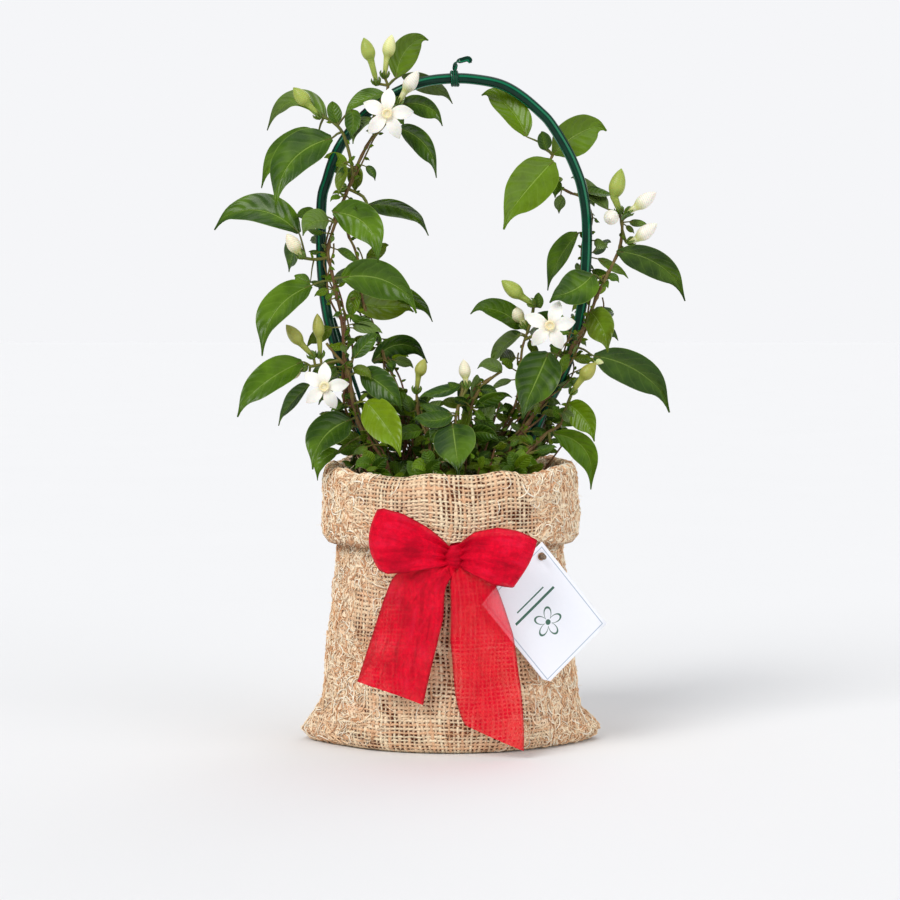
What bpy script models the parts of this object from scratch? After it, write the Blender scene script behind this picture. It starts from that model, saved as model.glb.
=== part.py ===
# Stephanotis trained on a hoop, standing in a burlap sack with a ribbon bow and a card.
# Table lengths are millimetres. X runs right, Y runs away from the front and Z runs up,
# with the origin under the middle of the sack's base. Tables give points on the front
# elevation, drawn in the plane Y = 0, and a depth for each.

import math

import bmesh
import bpy
from mathutils import Vector

MM = 0.001
VIEW_DISTANCE = 1300.0
VIEW_HEIGHT = 241.0
FRONT = Vector((0.0, -1.0, 0.0))
GAP = 0.3
WELD = 0.002
SPECK_FACES = 20
FLAT_ANGLES = (0.09, 0.06, 0.04, 0.02, 0.01)

# Sack
SACK_AROUND = 32
SACK_WALL_LOBES = 3
LOBE_DEPTH = 0.006
EAR_SHARPNESS = 14
RIM_TILT = 3.2

# Pot and soil
POT_RIM_RADIUS = 61.0
POT_BASE_RADIUS = 45.0
POT_HEIGHT = 126.0
POT_WALL = 1.8
POT_BOTTOM = 3.3
POT_LIP_HEIGHT = 10.0
POT_LIP_STEP = 3.0
POT_AROUND = 28
SOIL_TOP = 122.0
SOIL_CROWN = 3.0
SOIL_EDGE_DROP = 6.0
SOIL_EDGE_IN = 4.0
STEM_FOOT = 104.0
HOLE_CLEARANCE = 0.4
HOLE_SIDES = 6

# Hoop
HOOP_RADIUS = 3.1
HOOP_SIDES = 8
WIRE_RADIUS = 1.2
TIE_RADIUS = 0.75
TIE_RING = HOOP_RADIUS + TIE_RADIUS + GAP

# Foliage
BLADE = 0.8
FOLD = 0.22
TIP_DROP = 0.05
STALK_RADIUS = 1.0
STEM_STEP = 15.0
STEM_SIDES = 5
TWIG_SIDES = 4
BUD_SIDES = 6
PETIOLE = 0.8
JOINED = 2.5
LONG_PETIOLE = 14.0
PETIOLE_THICK = 1.4
BLADE_FOOT_THICK = 1.2
PETIOLE_ARCH = 0.08
ROOT_LIMIT = 0.96
ROOT_STAGGER = 0.07
ROOT_PLACES = 5
BLADE_STATIONS = ((0.0, 0.16), (0.13, 0.74), (0.4, 1.0), (0.7, 0.84), (0.92, 0.26), (1.0, 0.06))
MIDDLE_STATIONS = ((0.0, 0.16), (0.2, 0.86), (0.62, 0.92), (0.92, 0.28), (1.0, 0.06))
SMALL_STATIONS = ((0.0, 0.2), (0.38, 1.0), (0.8, 0.6), (1.0, 0.12))
PETAL_STATIONS = ((0.0, 0.3), (0.3, 0.95), (0.65, 0.9), (1.0, 0.12))
MIDDLE_WIDTH = 13.5
SMALL_WIDTH = 8.5

# Ribbon and card
RIBBON = 0.9
CARD_LENGTH = 65.5
CARD_WIDTH = 51.5
CARD_THICKNESS = 0.8
EYELET_HOLE = 1.3
EYELET_RADIUS = 2.3
EYELET_FLANGE = 3.4
TWINE_RADIUS = 0.6


for thing in list(bpy.data.objects):
    bpy.data.objects.remove(thing, do_unlink=True)


# Materials

COLOURS = {
    "burlap": ((0.78, 0.62, 0.42), 0.95, 0.0),
    "pot_plastic": ((0.16, 0.08, 0.05), 0.5, 0.0),
    "soil": ((0.05, 0.03, 0.02), 1.0, 0.0),
    "hoop_green": ((0.004, 0.08, 0.04), 0.25, 0.0),
    "leaf": ((0.03, 0.14, 0.015), 0.35, 0.0),
    "petal": ((0.93, 0.89, 0.8), 0.5, 0.0),
    "bud": ((0.88, 0.84, 0.66), 0.45, 0.0),
    "ribbon": ((0.75, 0.005, 0.03), 0.4, 0.0),
    "card": ((0.88, 0.9, 0.92), 0.6, 0.0),
    "brass": ((0.28, 0.16, 0.08), 0.35, 0.8),
    "twine": ((0.25, 0.19, 0.13), 0.9, 0.0),
}


def make_material(label):
    colour, roughness, metallic = COLOURS[label]
    material = bpy.data.materials.new(label)
    material.use_nodes = True
    shader = material.node_tree.nodes["Principled BSDF"]
    shader.inputs["Base Color"].default_value = (*colour, 1.0)
    shader.inputs["Roughness"].default_value = roughness
    shader.inputs["Metallic"].default_value = metallic
    material.diffuse_color = (*colour, 1.0)
    return material


MATERIALS = {label: make_material(label) for label in COLOURS}


# Building blocks

def seen(x, z, depth):
    """Place an elevation point at a depth, so that it keeps its place in the front view."""
    scale = (VIEW_DISTANCE + depth) / VIEW_DISTANCE
    return Vector((x * scale, depth, VIEW_HEIGHT + (z - VIEW_HEIGHT) * scale))


def add_body(name, points, faces, material):
    mesh = bpy.data.meshes.new(name)
    mesh.from_pydata([tuple(point * MM) for point in points], [], faces)
    body = bpy.data.objects.new(name, mesh)
    bpy.context.scene.collection.objects.link(body)
    shape = bmesh.new()
    shape.from_mesh(mesh)
    bmesh.ops.recalc_face_normals(shape, faces=shape.faces)
    bmesh.ops.triangulate(shape, faces=shape.faces, quad_method="FIXED")
    shape.to_mesh(mesh)
    shape.free()
    mesh.materials.append(MATERIALS[material])
    return body


def drop_specks(shape):
    """Take out the tiny closed shells that a union can leave where stems meet."""
    waiting = set(shape.faces)
    while waiting:
        shell, front = set(), [waiting.pop()]
        while front:
            face = front.pop()
            shell.add(face)
            near = {other for edge in face.edges for other in edge.link_faces} & waiting
            waiting -= near
            front.extend(near)
        if len(shell) < SPECK_FACES:
            bmesh.ops.delete(shape, geom=list(shell), context="FACES")


def tidy(mesh):
    """Merge the flat neighbours that a combined shape was split into, as far as it stays closed."""
    for flat in FLAT_ANGLES:
        shape = bmesh.new()
        shape.from_mesh(mesh)
        drop_specks(shape)
        bmesh.ops.remove_doubles(shape, verts=shape.verts, dist=WELD * MM)
        bmesh.ops.dissolve_limit(shape, angle_limit=flat, verts=shape.verts, edges=shape.edges)
        bmesh.ops.triangulate(shape, faces=shape.faces)
        closed = all(len(edge.link_faces) == 2 for edge in shape.edges)
        if closed:
            shape.to_mesh(mesh)
        shape.free()
        if closed:
            return


def boolean(body, others, operation, solver="EXACT"):
    """Join or cut a body with all the others at once, and take the others away."""
    group = bpy.data.collections.new(body.name + "_operands")
    bpy.context.scene.collection.children.link(group)
    for other in others:
        bpy.context.scene.collection.objects.unlink(other)
        group.objects.link(other)
    step = body.modifiers.new("combine", "BOOLEAN")
    step.operation = operation
    step.operand_type = "COLLECTION"
    step.collection = group
    step.solver = solver
    result = bpy.data.meshes.new_from_object(body.evaluated_get(bpy.context.evaluated_depsgraph_get()))
    body.modifiers.clear()
    body.data = result
    tidy(result)
    for other in list(group.objects):
        bpy.data.objects.remove(other, do_unlink=True)
    bpy.data.collections.remove(group)
    return body


def shade(body, angle=50):
    body.data.shade_smooth()
    body.data.set_sharp_from_angle(angle=math.radians(angle))
    return body


def smooth_path(points, step):
    """Sample a curve through the points, about one sample for each step of its length."""
    path = [points[0].copy()]
    for i in range(len(points) - 1):
        before = points[max(i - 1, 0)]
        start, end = points[i], points[i + 1]
        after = points[min(i + 2, len(points) - 1)]
        count = max(1, round((end - start).length / step))
        for k in range(1, count + 1):
            t = k / count
            path.append(0.5 * (2 * start + (end - before) * t
                               + (2 * before - 5 * start + 4 * end - after) * t * t
                               + (3 * start - before - 3 * end + after) * t ** 3))
    return path


def tangents(path):
    last = len(path) - 1
    return [(path[min(i + 1, last)] - path[max(i - 1, 0)]).normalized() for i in range(last + 1)]


def tube_shape(path, radii, sides):
    """Rings of a round tube along a path, with a flat cap at each end."""
    points, faces = [], []
    side = None
    for centre, along, radius in zip(path, tangents(path), radii):
        if side is None:
            side = along.orthogonal()
        side = (side - along * side.dot(along)).normalized()
        up = along.cross(side)
        for k in range(sides):
            turn = 2 * math.pi * k / sides
            points.append(centre + (side * math.cos(turn) + up * math.sin(turn)) * radius)
    for i in range(len(path) - 1):
        for k in range(sides):
            a, b = i * sides + k, i * sides + (k + 1) % sides
            faces.append((a, b, b + sides, a + sides))
    faces.append(tuple(reversed(range(sides))))
    faces.append(tuple(range(len(points) - sides, len(points))))
    return points, faces


def add_tube(name, path, radius, sides, material, end_radius=None):
    end_radius = radius if end_radius is None else end_radius
    last = len(path) - 1
    radii = [radius + (end_radius - radius) * i / last for i in range(last + 1)]
    return add_body(name, *tube_shape(path, radii, sides), material)


# Leaves, buds and petals

def blade_shape(centres, halves, fold, turn, thick, ribbed=True):
    """A thin leaf blade with both faces split alike: left edge, midrib if any, right edge."""
    points, faces = [], []
    for centre, along, half, deep in zip(centres, tangents(centres), halves, thick):
        facing = FRONT - along * FRONT.dot(along)
        if facing.length < 0.2:
            facing = Vector((0.0, 0.0, 1.0)) - along * along.z
        facing.normalize()
        side = along.cross(facing)
        out = facing * math.cos(turn) + side * math.sin(turn)
        side = side * math.cos(turn) - facing * math.sin(turn)
        lift = out * fold * half
        skin = out * deep / 2
        row = [centre - side * half + lift, centre, centre + side * half + lift]
        if not ribbed:
            del row[1]
        points.extend(point + skin for point in row)
        points.extend(point - skin for point in row)
    across = 3 if ribbed else 2
    section = 2 * across
    for i in range(len(centres) - 1):
        a, b = i * section, (i + 1) * section
        for k in range(across - 1):
            for face in ((a + k, a + k + 1, b + k), (a + k + 1, b + k + 1, b + k)):
                faces.append(face)
                faces.append(tuple(v + across for v in reversed(face)))
        for near, far in ((0, across), (section - 1, across - 1)):
            faces.extend(((a + near, b + near, b + far), (a + near, b + far, a + far)))
    end = section * (len(centres) - 1)
    for base, flip in ((0, False), (end, True)):
        for k in range(across - 1):
            cap = (base + k, base + k + across, base + k + across + 1, base + k + 1)
            faces.append(tuple(reversed(cap)) if flip else cap)
    return points, faces


def nearest_point(lines, spot, limit=1.0):
    """The point nearest to a spot on any of the stems' centre-lines, short of each stretch's end."""
    best = None
    for line in lines:
        for start, end in zip(line, line[1:]):
            span = end - start
            t = min(limit, max(1 - limit, (spot - start).dot(span) / span.length_squared))
            found = start + span * t
            if best is None or (found - spot).length < (best - spot).length:
                best = found
    return best


def leaf_line(base, tip, arch, fractions):
    """Points along a leaf's arched midrib, with the drip tip bent down."""
    span = tip - base
    rise = Vector((-span.z, 0.0, span.x)).normalized() * arch
    bend = (base + tip) / 2 + 2 * rise
    line = []
    for t in fractions:
        point = base * (1 - t) ** 2 + bend * 2 * t * (1 - t) + tip * t * t
        point.z -= TIP_DROP * span.length * max(0.0, (t - 0.85) / 0.15)
        line.append(point)
    return line


def add_leaf(name, row, stems, order):
    x0, z0, x1, z1, width, arch, y0, y1, turn = row
    base, tip = seen(x0, z0, y0), seen(x1, z1, y1)
    stations = BLADE_STATIONS
    if width < MIDDLE_WIDTH:
        stations = SMALL_STATIONS if width < SMALL_WIDTH else MIDDLE_STATIONS
    centres = leaf_line(base, tip, arch, [t for t, _ in stations])
    halves = [max(PETIOLE / 2, share * width / 2) for _, share in stations]
    thick = [BLADE] * len(stations)
    root = nearest_point(stems, base, ROOT_LIMIT - ROOT_STAGGER * (order % ROOT_PLACES))
    reach = (base - root).length
    if reach > JOINED:
        thick[0] = BLADE_FOOT_THICK
        if reach > LONG_PETIOLE:
            centres.insert(0, (root + base) / 2 + Vector((0.0, 0.0, PETIOLE_ARCH * reach)))
            halves.insert(0, PETIOLE)
            thick.insert(0, PETIOLE_THICK)
        centres.insert(0, root)
        halves.insert(0, PETIOLE)
        thick.insert(0, PETIOLE_THICK)
    else:
        centres[0] = root
    shape = blade_shape(centres, halves, FOLD, math.radians(turn), thick, width >= SMALL_WIDTH)
    return add_body(name, *shape, "leaf")


def bud_shape(foot, neck, tip, radius):
    """A turned bud: thin tube from its foot to its neck, then a pointed egg to its tip."""
    head = tip - neck
    centres = [foot, neck, neck + head * 0.25, neck + head * 0.6, tip]
    radii = [STALK_RADIUS, 0.55 * radius, 0.95 * radius, 0.9 * radius, 0.5]
    return tube_shape(centres, radii, BUD_SIDES)


def add_bud(name, row, stems, material="leaf"):
    """A green bud in one with the stalk that joins it to the nearest stem."""
    xf, zf, xn, zn, xt, zt, radius, depth = row
    foot = seen(xf, zf, depth)
    root = nearest_point(stems, foot)
    if (root - foot).length < 1.0:
        root = foot - (seen(xn, zn, depth) - foot).normalized()
    points, faces = bud_shape(root, seen(xn, zn, depth), seen(xt, zt, depth), radius)
    return add_body(name, points, faces, material)


# Stems: foot on the soil, radius at foot and top, then elevation points with depths

SPRAYS = {
    "spray_left_top": {
        "stems": [
            ((-30, -8), 1.7, 1.3, [
                (-34.5, 146, -8), (-46.5, 171.6, -6.5), (-56.7, 195, -6.5), (-62.1, 222.6, -6.5),
                (-65.1, 253.8, -6.5), (-70.5, 279.6, -6.5), (-72.9, 294.6, -6.5), (-67.5, 313.2, -6.5),
                (-60.9, 330.6, -6), (-54.3, 346.8, -3), (-47.5, 359.5, 2), (-39.9, 369, 6),
                (-38.1, 381.6, 7), (-36.9, 391.8, 7.5)]),
        ],
        "twigs": [
            [(-57.9, 337.8, -5), (-59.7, 350, -6.5), (-63.9, 363.6, -7.5), (-69.9, 370.2, -8),
             (-76.5, 373.8, -8)],
            [(-45.3, 361.8, 3), (-40, 367.5, -4), (-38.5, 370, -7.5)],
            [(-43, 364, 1), (-37, 374, -5), (-32.5, 379, -8.2)],
            [(-45.3, 361.8, 3), (-45.8, 370, -5), (-44, 378, -7.6), (-40.5, 384.5, -7.8)],
            [(-72.4, 290, -6.5), (-80, 288.6, -9), (-87.2, 289.4, -15.6)],
            [(-60.9, 330.6, -6), (-52, 326, -5.5), (-49.5, 321, -5)],
        ],
        "leaves": [
            (-32.1, 396.6, -12.9, 419.4, 17, 5, 7, 22, 20),
            (-28.5, 397.8, 1.5, 381.6, 13, 2, 8.5, 20, 40),
            (-27.9, 381, -4.5, 368.4, 14, 4, -7, -24, 40),
            (-30.3, 366.6, -8.1, 337.8, 15, 5, -4, -26, 35),
            (-74.1, 372.6, -108.9, 366, 15, -12, -8, 10, 40),
            (-66.9, 369.6, -69.9, 382.8, 9, 1, -8, -7, 20),
            (-70.5, 360.6, -104.1, 320.4, 23, -8, -8, -28, 12),
            (-78.9, 363.6, -112.5, 331.8, 16, -5, -3, 20, 20),
            (-58.5, 377.4, -59.1, 360, 10, 1, -9, -20, 15),
            (-46.5, 372.6, -57.9, 357.6, 12, -2, -6, -16, 50),
            (-39.3, 387, -62.7, 373.8, 12, -2, -8, -8, 40),
            (-63.9, 345.6, -66.9, 326.4, 9, 1, -7, -16, 35),
            (-55.4, 344.6, -56.7, 328.2, 11, 0, -3, 0, 30),
            (-50.1, 343.8, -44.7, 335.4, 5, 1, -6, -7, 0),
            (-90.3, 304.2, -140.7, 307.2, 21, -10, -9, 8, 30),
            (-72.6, 311.6, -87.9, 303, 14, -3, -8.3, -20, 20),
            (-80.1, 315.5, -92.1, 313, 8, -1, -7.5, -6, 20),
            (-92.1, 300.6, -96.3, 281.4, 14, 0, -9, 4, 40),
            (-83.1, 273, -112.5, 231.6, 21, -7, -9, -30, 25),
            (-83.7, 275, -93.3, 279, 8, 1, -8.5, -8, 20),
            (-69.9, 316.8, -42.9, 287.4, 21, 8, -9, -30, 10),
            (-49.5, 321, -12.9, 303.6, 16, 5, -5, 22, 55),
            (-64.5, 277.8, -20.1, 257.4, 23, 7, -9, -30, 15),
        ],
        "buds": [
            (-43.5, 393, -47.1, 406.8, -51.3, 420, 4.2, 7),
            (-39, 397, -37.5, 408.6, -34.5, 421.8, 3.9, 7.5),
            (-77.7, 373.2, -84.3, 380.4, -93.3, 390.6, 4.2, -8),
            (-63, 332, -65, 331.6, -68.6, 333, 2.0, -7),
        ],
    },
    "spray_left_low": {
        "stems": [
            ((-24, -14), 1.4, 1.2, [
                (-28.5, 146, -14), (-35.1, 158.4, -12.5), (-38.7, 165.6, -12), (-44.1, 174.6, -12),
                (-50.1, 182.4, -12), (-55.5, 192.6, -12), (-58.5, 204.6, -12), (-59.7, 216.6, -12),
                (-62.7, 224.4, -11.5), (-68.7, 231.6, -11), (-74.1, 238.6, -10.5)]),
        ],
        "twigs": [
            [(-66, 228.5, -11), (-72, 227, -11), (-77.7, 225.6, -11), (-84, 224.6, -10)],
            [(-77, 225.8, -11), (-76, 222, -12.5)],
        ],
        "leaves": [
            (-53.7, 221.4, -29.1, 198.6, 17, 2, -13, -24, 5),
            (-50.1, 203.4, -29.7, 171, 21, 1, -15, -38, 5),
            (-59.7, 192.6, -82.5, 163.4, 22, -5, -12, -34, 20),
            (-66.9, 173.6, -79.6, 156.4, 10, -4, -14, -15, 35),
            (-88.5, 227.4, -127.5, 195, 20, -3, -10, -22, 25),
            (-84.5, 213.4, -102.9, 189.6, 13, -1, -7, 14, 45),
        ],
        "buds": [
            (-81.9, 230.4, -89.1, 238.2, -98.1, 249.6, 3.9, -12),
            (-77.7, 230.6, -78.3, 241.8, -79.5, 256.2, 3.6, -10.5),
        ],
    },
    "spray_left_inner": {
        "stems": [
            ((-14, 2), 1.5, 1.1, [
                (-20, 146, 1), (-27.3, 165.6, 0), (-27.3, 180.6, 0), (-28.5, 195.6, 0),
                (-30.3, 207.6, 0), (-34.5, 219.6, 0), (-38.7, 228.6, 0), (-42.9, 239.4, 0),
                (-48.3, 250.8, 0), (-52.5, 264.6, 0), (-53.7, 279.6, 1), (-54.9, 287.4, 1),
                (-57.3, 295.8, 2), (-60.3, 301.8, 2), (-62.1, 308, 2)]),
        ],
        "twigs": [],
        "leaves": [
            (-59.7, 264.6, -21.9, 258, 20, -3, -1, 18, -30),
            (-56.1, 270.6, -59.7, 251.4, 9, 0, 0, -1, 20),
            (-38.7, 273.6, -10.5, 252, 13, 2, 3, 24, 40),
            (-56.7, 252.6, -44.7, 246.6, 6, 1, -1, -3, 0),
            (-46.5, 227.2, -13.5, 227.4, 18, 9, -3, 16, 40),
            (-35.7, 228.6, -34.5, 220.8, 6, 0, -2, -3, 0),
        ],
        "buds": [],
    },
    "spray_right_outer": {
        "stems": [
            ((14, -8), 1.7, 1.3, [
                (17, 146, -8), (21.3, 157.8, -8), (28.5, 167.4, -7.5), (35.1, 174.6, -7),
                (41.1, 181.8, -7), (48.3, 192.6, -7), (54.9, 202.2, -7), (60.9, 211.8, -7),
                (66.3, 220.8, -7), (70.5, 229.8, -7), (74.7, 239.4, -7), (78.9, 245.4, -7),
                (84.3, 257.4, -6), (88.5, 267.6, -4), (93.3, 277.8, -2), (98.1, 287.4, 0),
                (101.7, 296.4, 0), (102.9, 307.8, 0), (101.7, 314.4, 0)]),
        ],
        "twigs": [
            [(102.9, 306, 0), (104.5, 300.5, -6), (105.6, 298.6, -8)],
            [(101.7, 314.4, 0), (99.5, 314.8, -5), (98, 314.6, -7.5)],
            [(102.5, 311, 0), (103.5, 314.5, -4), (104.5, 316, -6.6)],
        ],
        "leaves": [
            (93.9, 318.6, 72.3, 337.8, 12, 0, 8, 24, 40),
            (85.5, 279.6, 59.7, 263.4, 21, 3, -9, -28, 10),
            (59.1, 232.8, 43.5, 193.8, 26, 0, -10, -32, 8),
            (99.9, 293.4, 140.7, 264.6, 19, 6, -4, 16, 30),
            (84.3, 257.4, 94.5, 233.4, 18, 2, -8, -26, 20),
            (86.1, 231, 131.7, 198, 22, 6, -6, 18, 20),
            (94.5, 278.4, 101.1, 274.8, 5, 1, -2, -3, 0),
            (67, 221, 72, 232, 6, 1, -9, -11, 0),
        ],
        "buds": [
            (101.7, 316.4, 98.1, 325.8, 102.3, 342.6, 4.8, 0),
            (81, 230, 85.5, 228.6, 92.1, 226.8, 2.4, -3),
        ],
    },
    "spray_right_inner": {
        "stems": [
            ((5, -1), 1.4, 1.1, [
                (10, 146, -1), (17.1, 157.8, 0), (24.3, 171.6, 0), (29.1, 181.8, 0),
                (34.5, 192.6, 0), (39.3, 202.2, 0), (42, 217, 0), (42.9, 232.8, 0), (44.7, 240.6, 0),
                (46.3, 245, 0)]),
        ],
        "twigs": [
            [(44.7, 240.6, 0), (50, 243, -4), (55.5, 245.5, -8)],
            [(46.3, 245, 0), (49, 254, -2), (50.1, 261.6, -3)],
        ],
        "leaves": [
            (43.5, 247.8, 12.3, 256.8, 15, -4, -4, -18, 30),
            (42.3, 243.4, 24.3, 224.4, 13, -2, -2, 20, 50),
            (54.3, 259.6, 53.4, 269, 6, 1, -3, -4, 0),
        ],
        "buds": [
            (50.1, 261.6, 42.9, 266.4, 30.9, 276, 4.5, -5),
        ],
    },
    "spray_right_top": {
        "stems": [
            ((35, 9), 1.5, 1.1, [
                (37, 146, 9), (44, 172, 8), (51, 190, 7.5), (57.3, 204.6, 7), (72.3, 234.6, 6.5),
                (77.1, 264.6, 6.5), (80.1, 282.6, 6.5), (82.5, 297.6, 6.5), (83.7, 309.6, 6.5),
                (81.9, 320.4, 7), (78.3, 325.6, 7), (71.1, 328.6, 6), (63.9, 333, 3),
                (57.9, 337.8, 1), (59.1, 345.6, 1), (61.5, 351, 2)]),
        ],
        "twigs": [],
        "leaves": [
            (45.3, 361.8, 18.9, 387, 17, -4, -5, 14, 20),
            (57.3, 353.4, 54.3, 364.8, 9, 0, -1, -3, 20),
            (66, 354.5, 93.3, 366, 19, 3, 9, 28, 15),
            (61.5, 347, 32.1, 307.2, 26, -1, -5, -28, 8),
            (63.9, 335.8, 62.7, 325.2, 7, 0, -1, -4, 0),
            (76.5, 304.2, 58.5, 270.6, 17, -2, 8.5, 24, 45),
        ],
        "buds": [],
    },
    "spray_right_low": {
        "stems": [
            ((24, -18), 1.3, 1.0, [
                (27, 146, -18), (38, 163, -16), (48.3, 174.6, -14), (54.3, 180.6, -13.5),
                (59.1, 185.4, -13), (66.3, 189.6, -13), (68.1, 195.6, -12)]),
        ],
        "twigs": [
            [(59.1, 185.4, -13), (60.3, 178.5, -13), (60.5, 175, -13)],
            [(68.1, 195.6, -12), (70.5, 202, -12), (72.5, 207, -12)],
        ],
        "leaves": [
            (71.1, 202.2, 86.7, 180, 16, 2, -13, -26, 20),
            (68.1, 197.4, 74.7, 190.2, 7, 0, -14, -17, 0),
            (62.5, 184.4, 84.7, 151.2, 17, 9, -12, -13, 25),
            (66.3, 189.6, 78.3, 188.6, 4, 1, -13, -14, 0),
        ],
        "buds": [
            (72.9, 208.8, 78.9, 217.2, 87.3, 226.8, 4.2, -13),
        ],
    },
    "shoot_left": {
        "stems": [
            ((-9, -20), 1.1, 0.9, [
                (-9.5, 146, -20), (-11, 165, -18), (-13, 180.6, -16), (-18.9, 195.6, -14),
                (-20.1, 209.4, -14)]),
        ],
        "twigs": [],
        "leaves": [
            (-23.7, 197.4, -26.1, 207.6, 7, 0, -14, -15, 0),
            (-17, 186, -32, 178, 9, -2, -16, -22, 20),
            (-10, 172, 2, 166, 8, 2, -19, -28, 20),
        ],
        "buds": [
            (-20.1, 209.4, -18.9, 219, -15.3, 229.2, 3.6, -14),
        ],
    },
    "shoot_middle": {
        "stems": [
            ((2, -24), 1.2, 0.9, [
                (2.5, 146, -24), (3.3, 170, -23), (3.3, 192.6, -22), (6, 204, -21), (7.5, 211.4, -20)]),
        ],
        "twigs": [
            [(6, 204, -21), (9, 209.5, -20), (10, 211.6, -19.5)],
        ],
        "leaves": [
            (6.3, 213.8, -18.9, 205.8, 9, 2, -20, -24, 40),
            (6.5, 211.8, -1.5, 215, 5, 1, -20, -22, 0),
            (0.3, 196.8, -18.3, 201.6, 7, 2, -23, -26, 20),
            (1.5, 195.4, -22.5, 193.2, 11, 3, -24, -32, 30),
            (1.5, 189.6, 5.1, 160, 25, 0, -26, -52, 0),
            (0.3, 189.6, -11.7, 178.8, 10, -2, -24, -32, 15),
        ],
        "buds": [],
    },
    "shoot_right": {
        "stems": [
            ((10, -15), 1.1, 0.9, [
                (11, 146, -15), (12, 175, -15), (12.3, 193.8, -15), (13.5, 203, -15), (18.3, 211.8, -15),
                (24, 217, -15), (31, 221.8, -15)]),
        ],
        "twigs": [],
        "leaves": [
            (11.1, 197.4, 7.5, 216.8, 9, 1, -14, -13, 20),
            (14.5, 203.6, 16.5, 220.2, 7, 0, -14, -13, 20),
            (31, 221.8, 16.5, 223.6, 9, -2, -15, -17, 30),
            (18.3, 210.6, 28.5, 208.2, 6, 1, -16, -19, 0),
            (15, 199.8, 37.3, 206.4, 10, 2, -17, -20, 40),
            (14.3, 192.6, 27.9, 187.2, 7, 1, -17, -22, 10),
            (13, 184.6, 29, 180, 10, 2, -17, -26, 20),
        ],
        "buds": [],
    },
    "cover_left": {
        "stems": [((-42, -26), 1.1, 0.9, [(-42.5, 140, -26), (-44, 156, -27), (-47, 166, -28)])],
        "twigs": [],
        "leaves": [
            (-47, 165, -57, 163, 8, -2, -28, -34, 20), (-47, 166, -52, 174, 8, 0, -28, -30, 10),
            (-45.6, 161, -37, 169, 8, 1, -26.6, -30, 15), (-44.4, 155, -52, 156.5, 8, -2, -27.4, -35, 10),
            (-44, 158, -35, 157.5, 8, 2, -27, -38, 15), (-45, 162, -43, 172, 8, 0, -26, -20, 10),
        ],
        "buds": [],
    },
    "cover_middle": {
        "stems": [((-15, -42), 1.1, 0.9, [(-15, 140, -42), (-14, 156, -42), (-12, 166, -42)])],
        "twigs": [],
        "leaves": [
            (-13, 164, -23, 162, 8, -2, -42, -47, 20), (-12, 166, -15, 175, 8, 0, -42, -43, 10),
            (-13, 161, -5, 167, 8, 1, -42, -46, 15), (-14, 157, -22, 154.5, 8, -2, -42, -50, 10),
            (-14, 158, -6, 155.5, 8, 2, -42, -50, 15), (-15, 156, -26, 168, 8, 1, -42, -38, 10),
        ],
        "buds": [],
    },
    "cover_right": {
        "stems": [((38, -30), 1.1, 0.9, [(38, 140, -30), (38.5, 156, -31), (40, 165, -32)])],
        "twigs": [],
        "leaves": [
            (39, 160, 31, 157.5, 8, -2, -31, -42, 20), (40, 165, 35, 173, 8, 0, -32, -34, 10),
            (40, 163, 50, 170.5, 8, 1, -32, -37, 15), (38.5, 157, 29, 165, 8, -2, -31, -33, 10),
            (38.5, 158, 47, 157.5, 8, 2, -31, -42, 15), (39.5, 164, 44.5, 175, 8, 0, -31, -26, 10),
        ],
        "buds": [],
    },
}

# Pale buds: foot, neck, tip on the elevation, radius, depths of foot and tip

PALE_BUDS = {
    "bud_top": (-31.0, 381.2, -26.7, 388.4, -18.9, 400.4, 4.1, -9, -10),
    "bud_left": (-88.0, 290.2, -90.7, 293.2, -97.5, 303.8, 4.1, -16.1, -19),
    "bud_left_low": (-86.6, 224.2, -90.2, 222.9, -98.5, 217, 3.2, -9.8, 0),
    "bud_middle": (10.1, 212.4, 9.3, 217.6, 8.1, 228.8, 3.5, -19, -17),
    "bud_right_back": (105.6, 316.5, 111, 319.6, 123.1, 328.6, 4.1, -7, -4),
    "bud_right_front": (97.5, 314.6, 96.5, 314, 96, 313, 4.4, -8, -26),
    "bud_right_low": (106.9, 298.8, 111.8, 301, 123.8, 310, 4.1, -9.4, -12),
    "bud_inner": (45.1, 248.2, 43.0, 252.0, 35.7, 261.2, 4.1, 0.1, 3),
}

# Blooms: centre on the elevation, petal reach, centre depth, foot of the tube, petal directions

BLOOMS = {
    "bloom_top": ((-37.5, 375, -24), 15.6, (-38.6, 370.9, -8.2), (86, 7, -61, -135, 153)),
    "bloom_left": ((-75.3, 212.4, -28), 14.4, (-76.1, 220.8, -12.8), (88, 8, -65, -138, 145)),
    "bloom_right": ((59.7, 249, -25), 15.6, (56.3, 245.9, -8.7), (67, 7, -61, -132, 158)),
}
PETAL_WIDTH = 0.62
TUBE_RADII = (1.8, 2.4, 3.4)
TUBE_SIDES = 8
PETAL_BACKWARD = 4.0
PETAL_BULGE = 2.0
PETAL_FOLD = 0.12
PETAL_STAGGER = 0.35


def foot_path(foot):
    return [Vector((foot[0], foot[1], STEM_FOOT)), Vector((foot[0], foot[1], SOIL_TOP + 2))]


def make_spray(name, plan):
    lines, pieces = [], []
    for foot, low, high, spots in plan["stems"]:
        path = smooth_path(foot_path(foot) + [seen(*spot) for spot in spots], STEM_STEP)
        lines.append(path)
        pieces.append(add_tube(name, path, low, STEM_SIDES, "leaf", high))
    for spots in plan["twigs"]:
        path = smooth_path([seen(*spot) for spot in spots], STEM_STEP)
        lines.append(path)
        pieces.append(add_tube(name + "_twig", path, STALK_RADIUS, TWIG_SIDES, "leaf"))
    pieces.extend(add_leaf(name + "_leaf", row, lines, i) for i, row in enumerate(plan["leaves"]))
    pieces.extend(add_bud(name + "_bud", row, lines) for row in plan["buds"])
    return shade(boolean(pieces[0], pieces[1:], "UNION", "MANIFOLD"))


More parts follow.
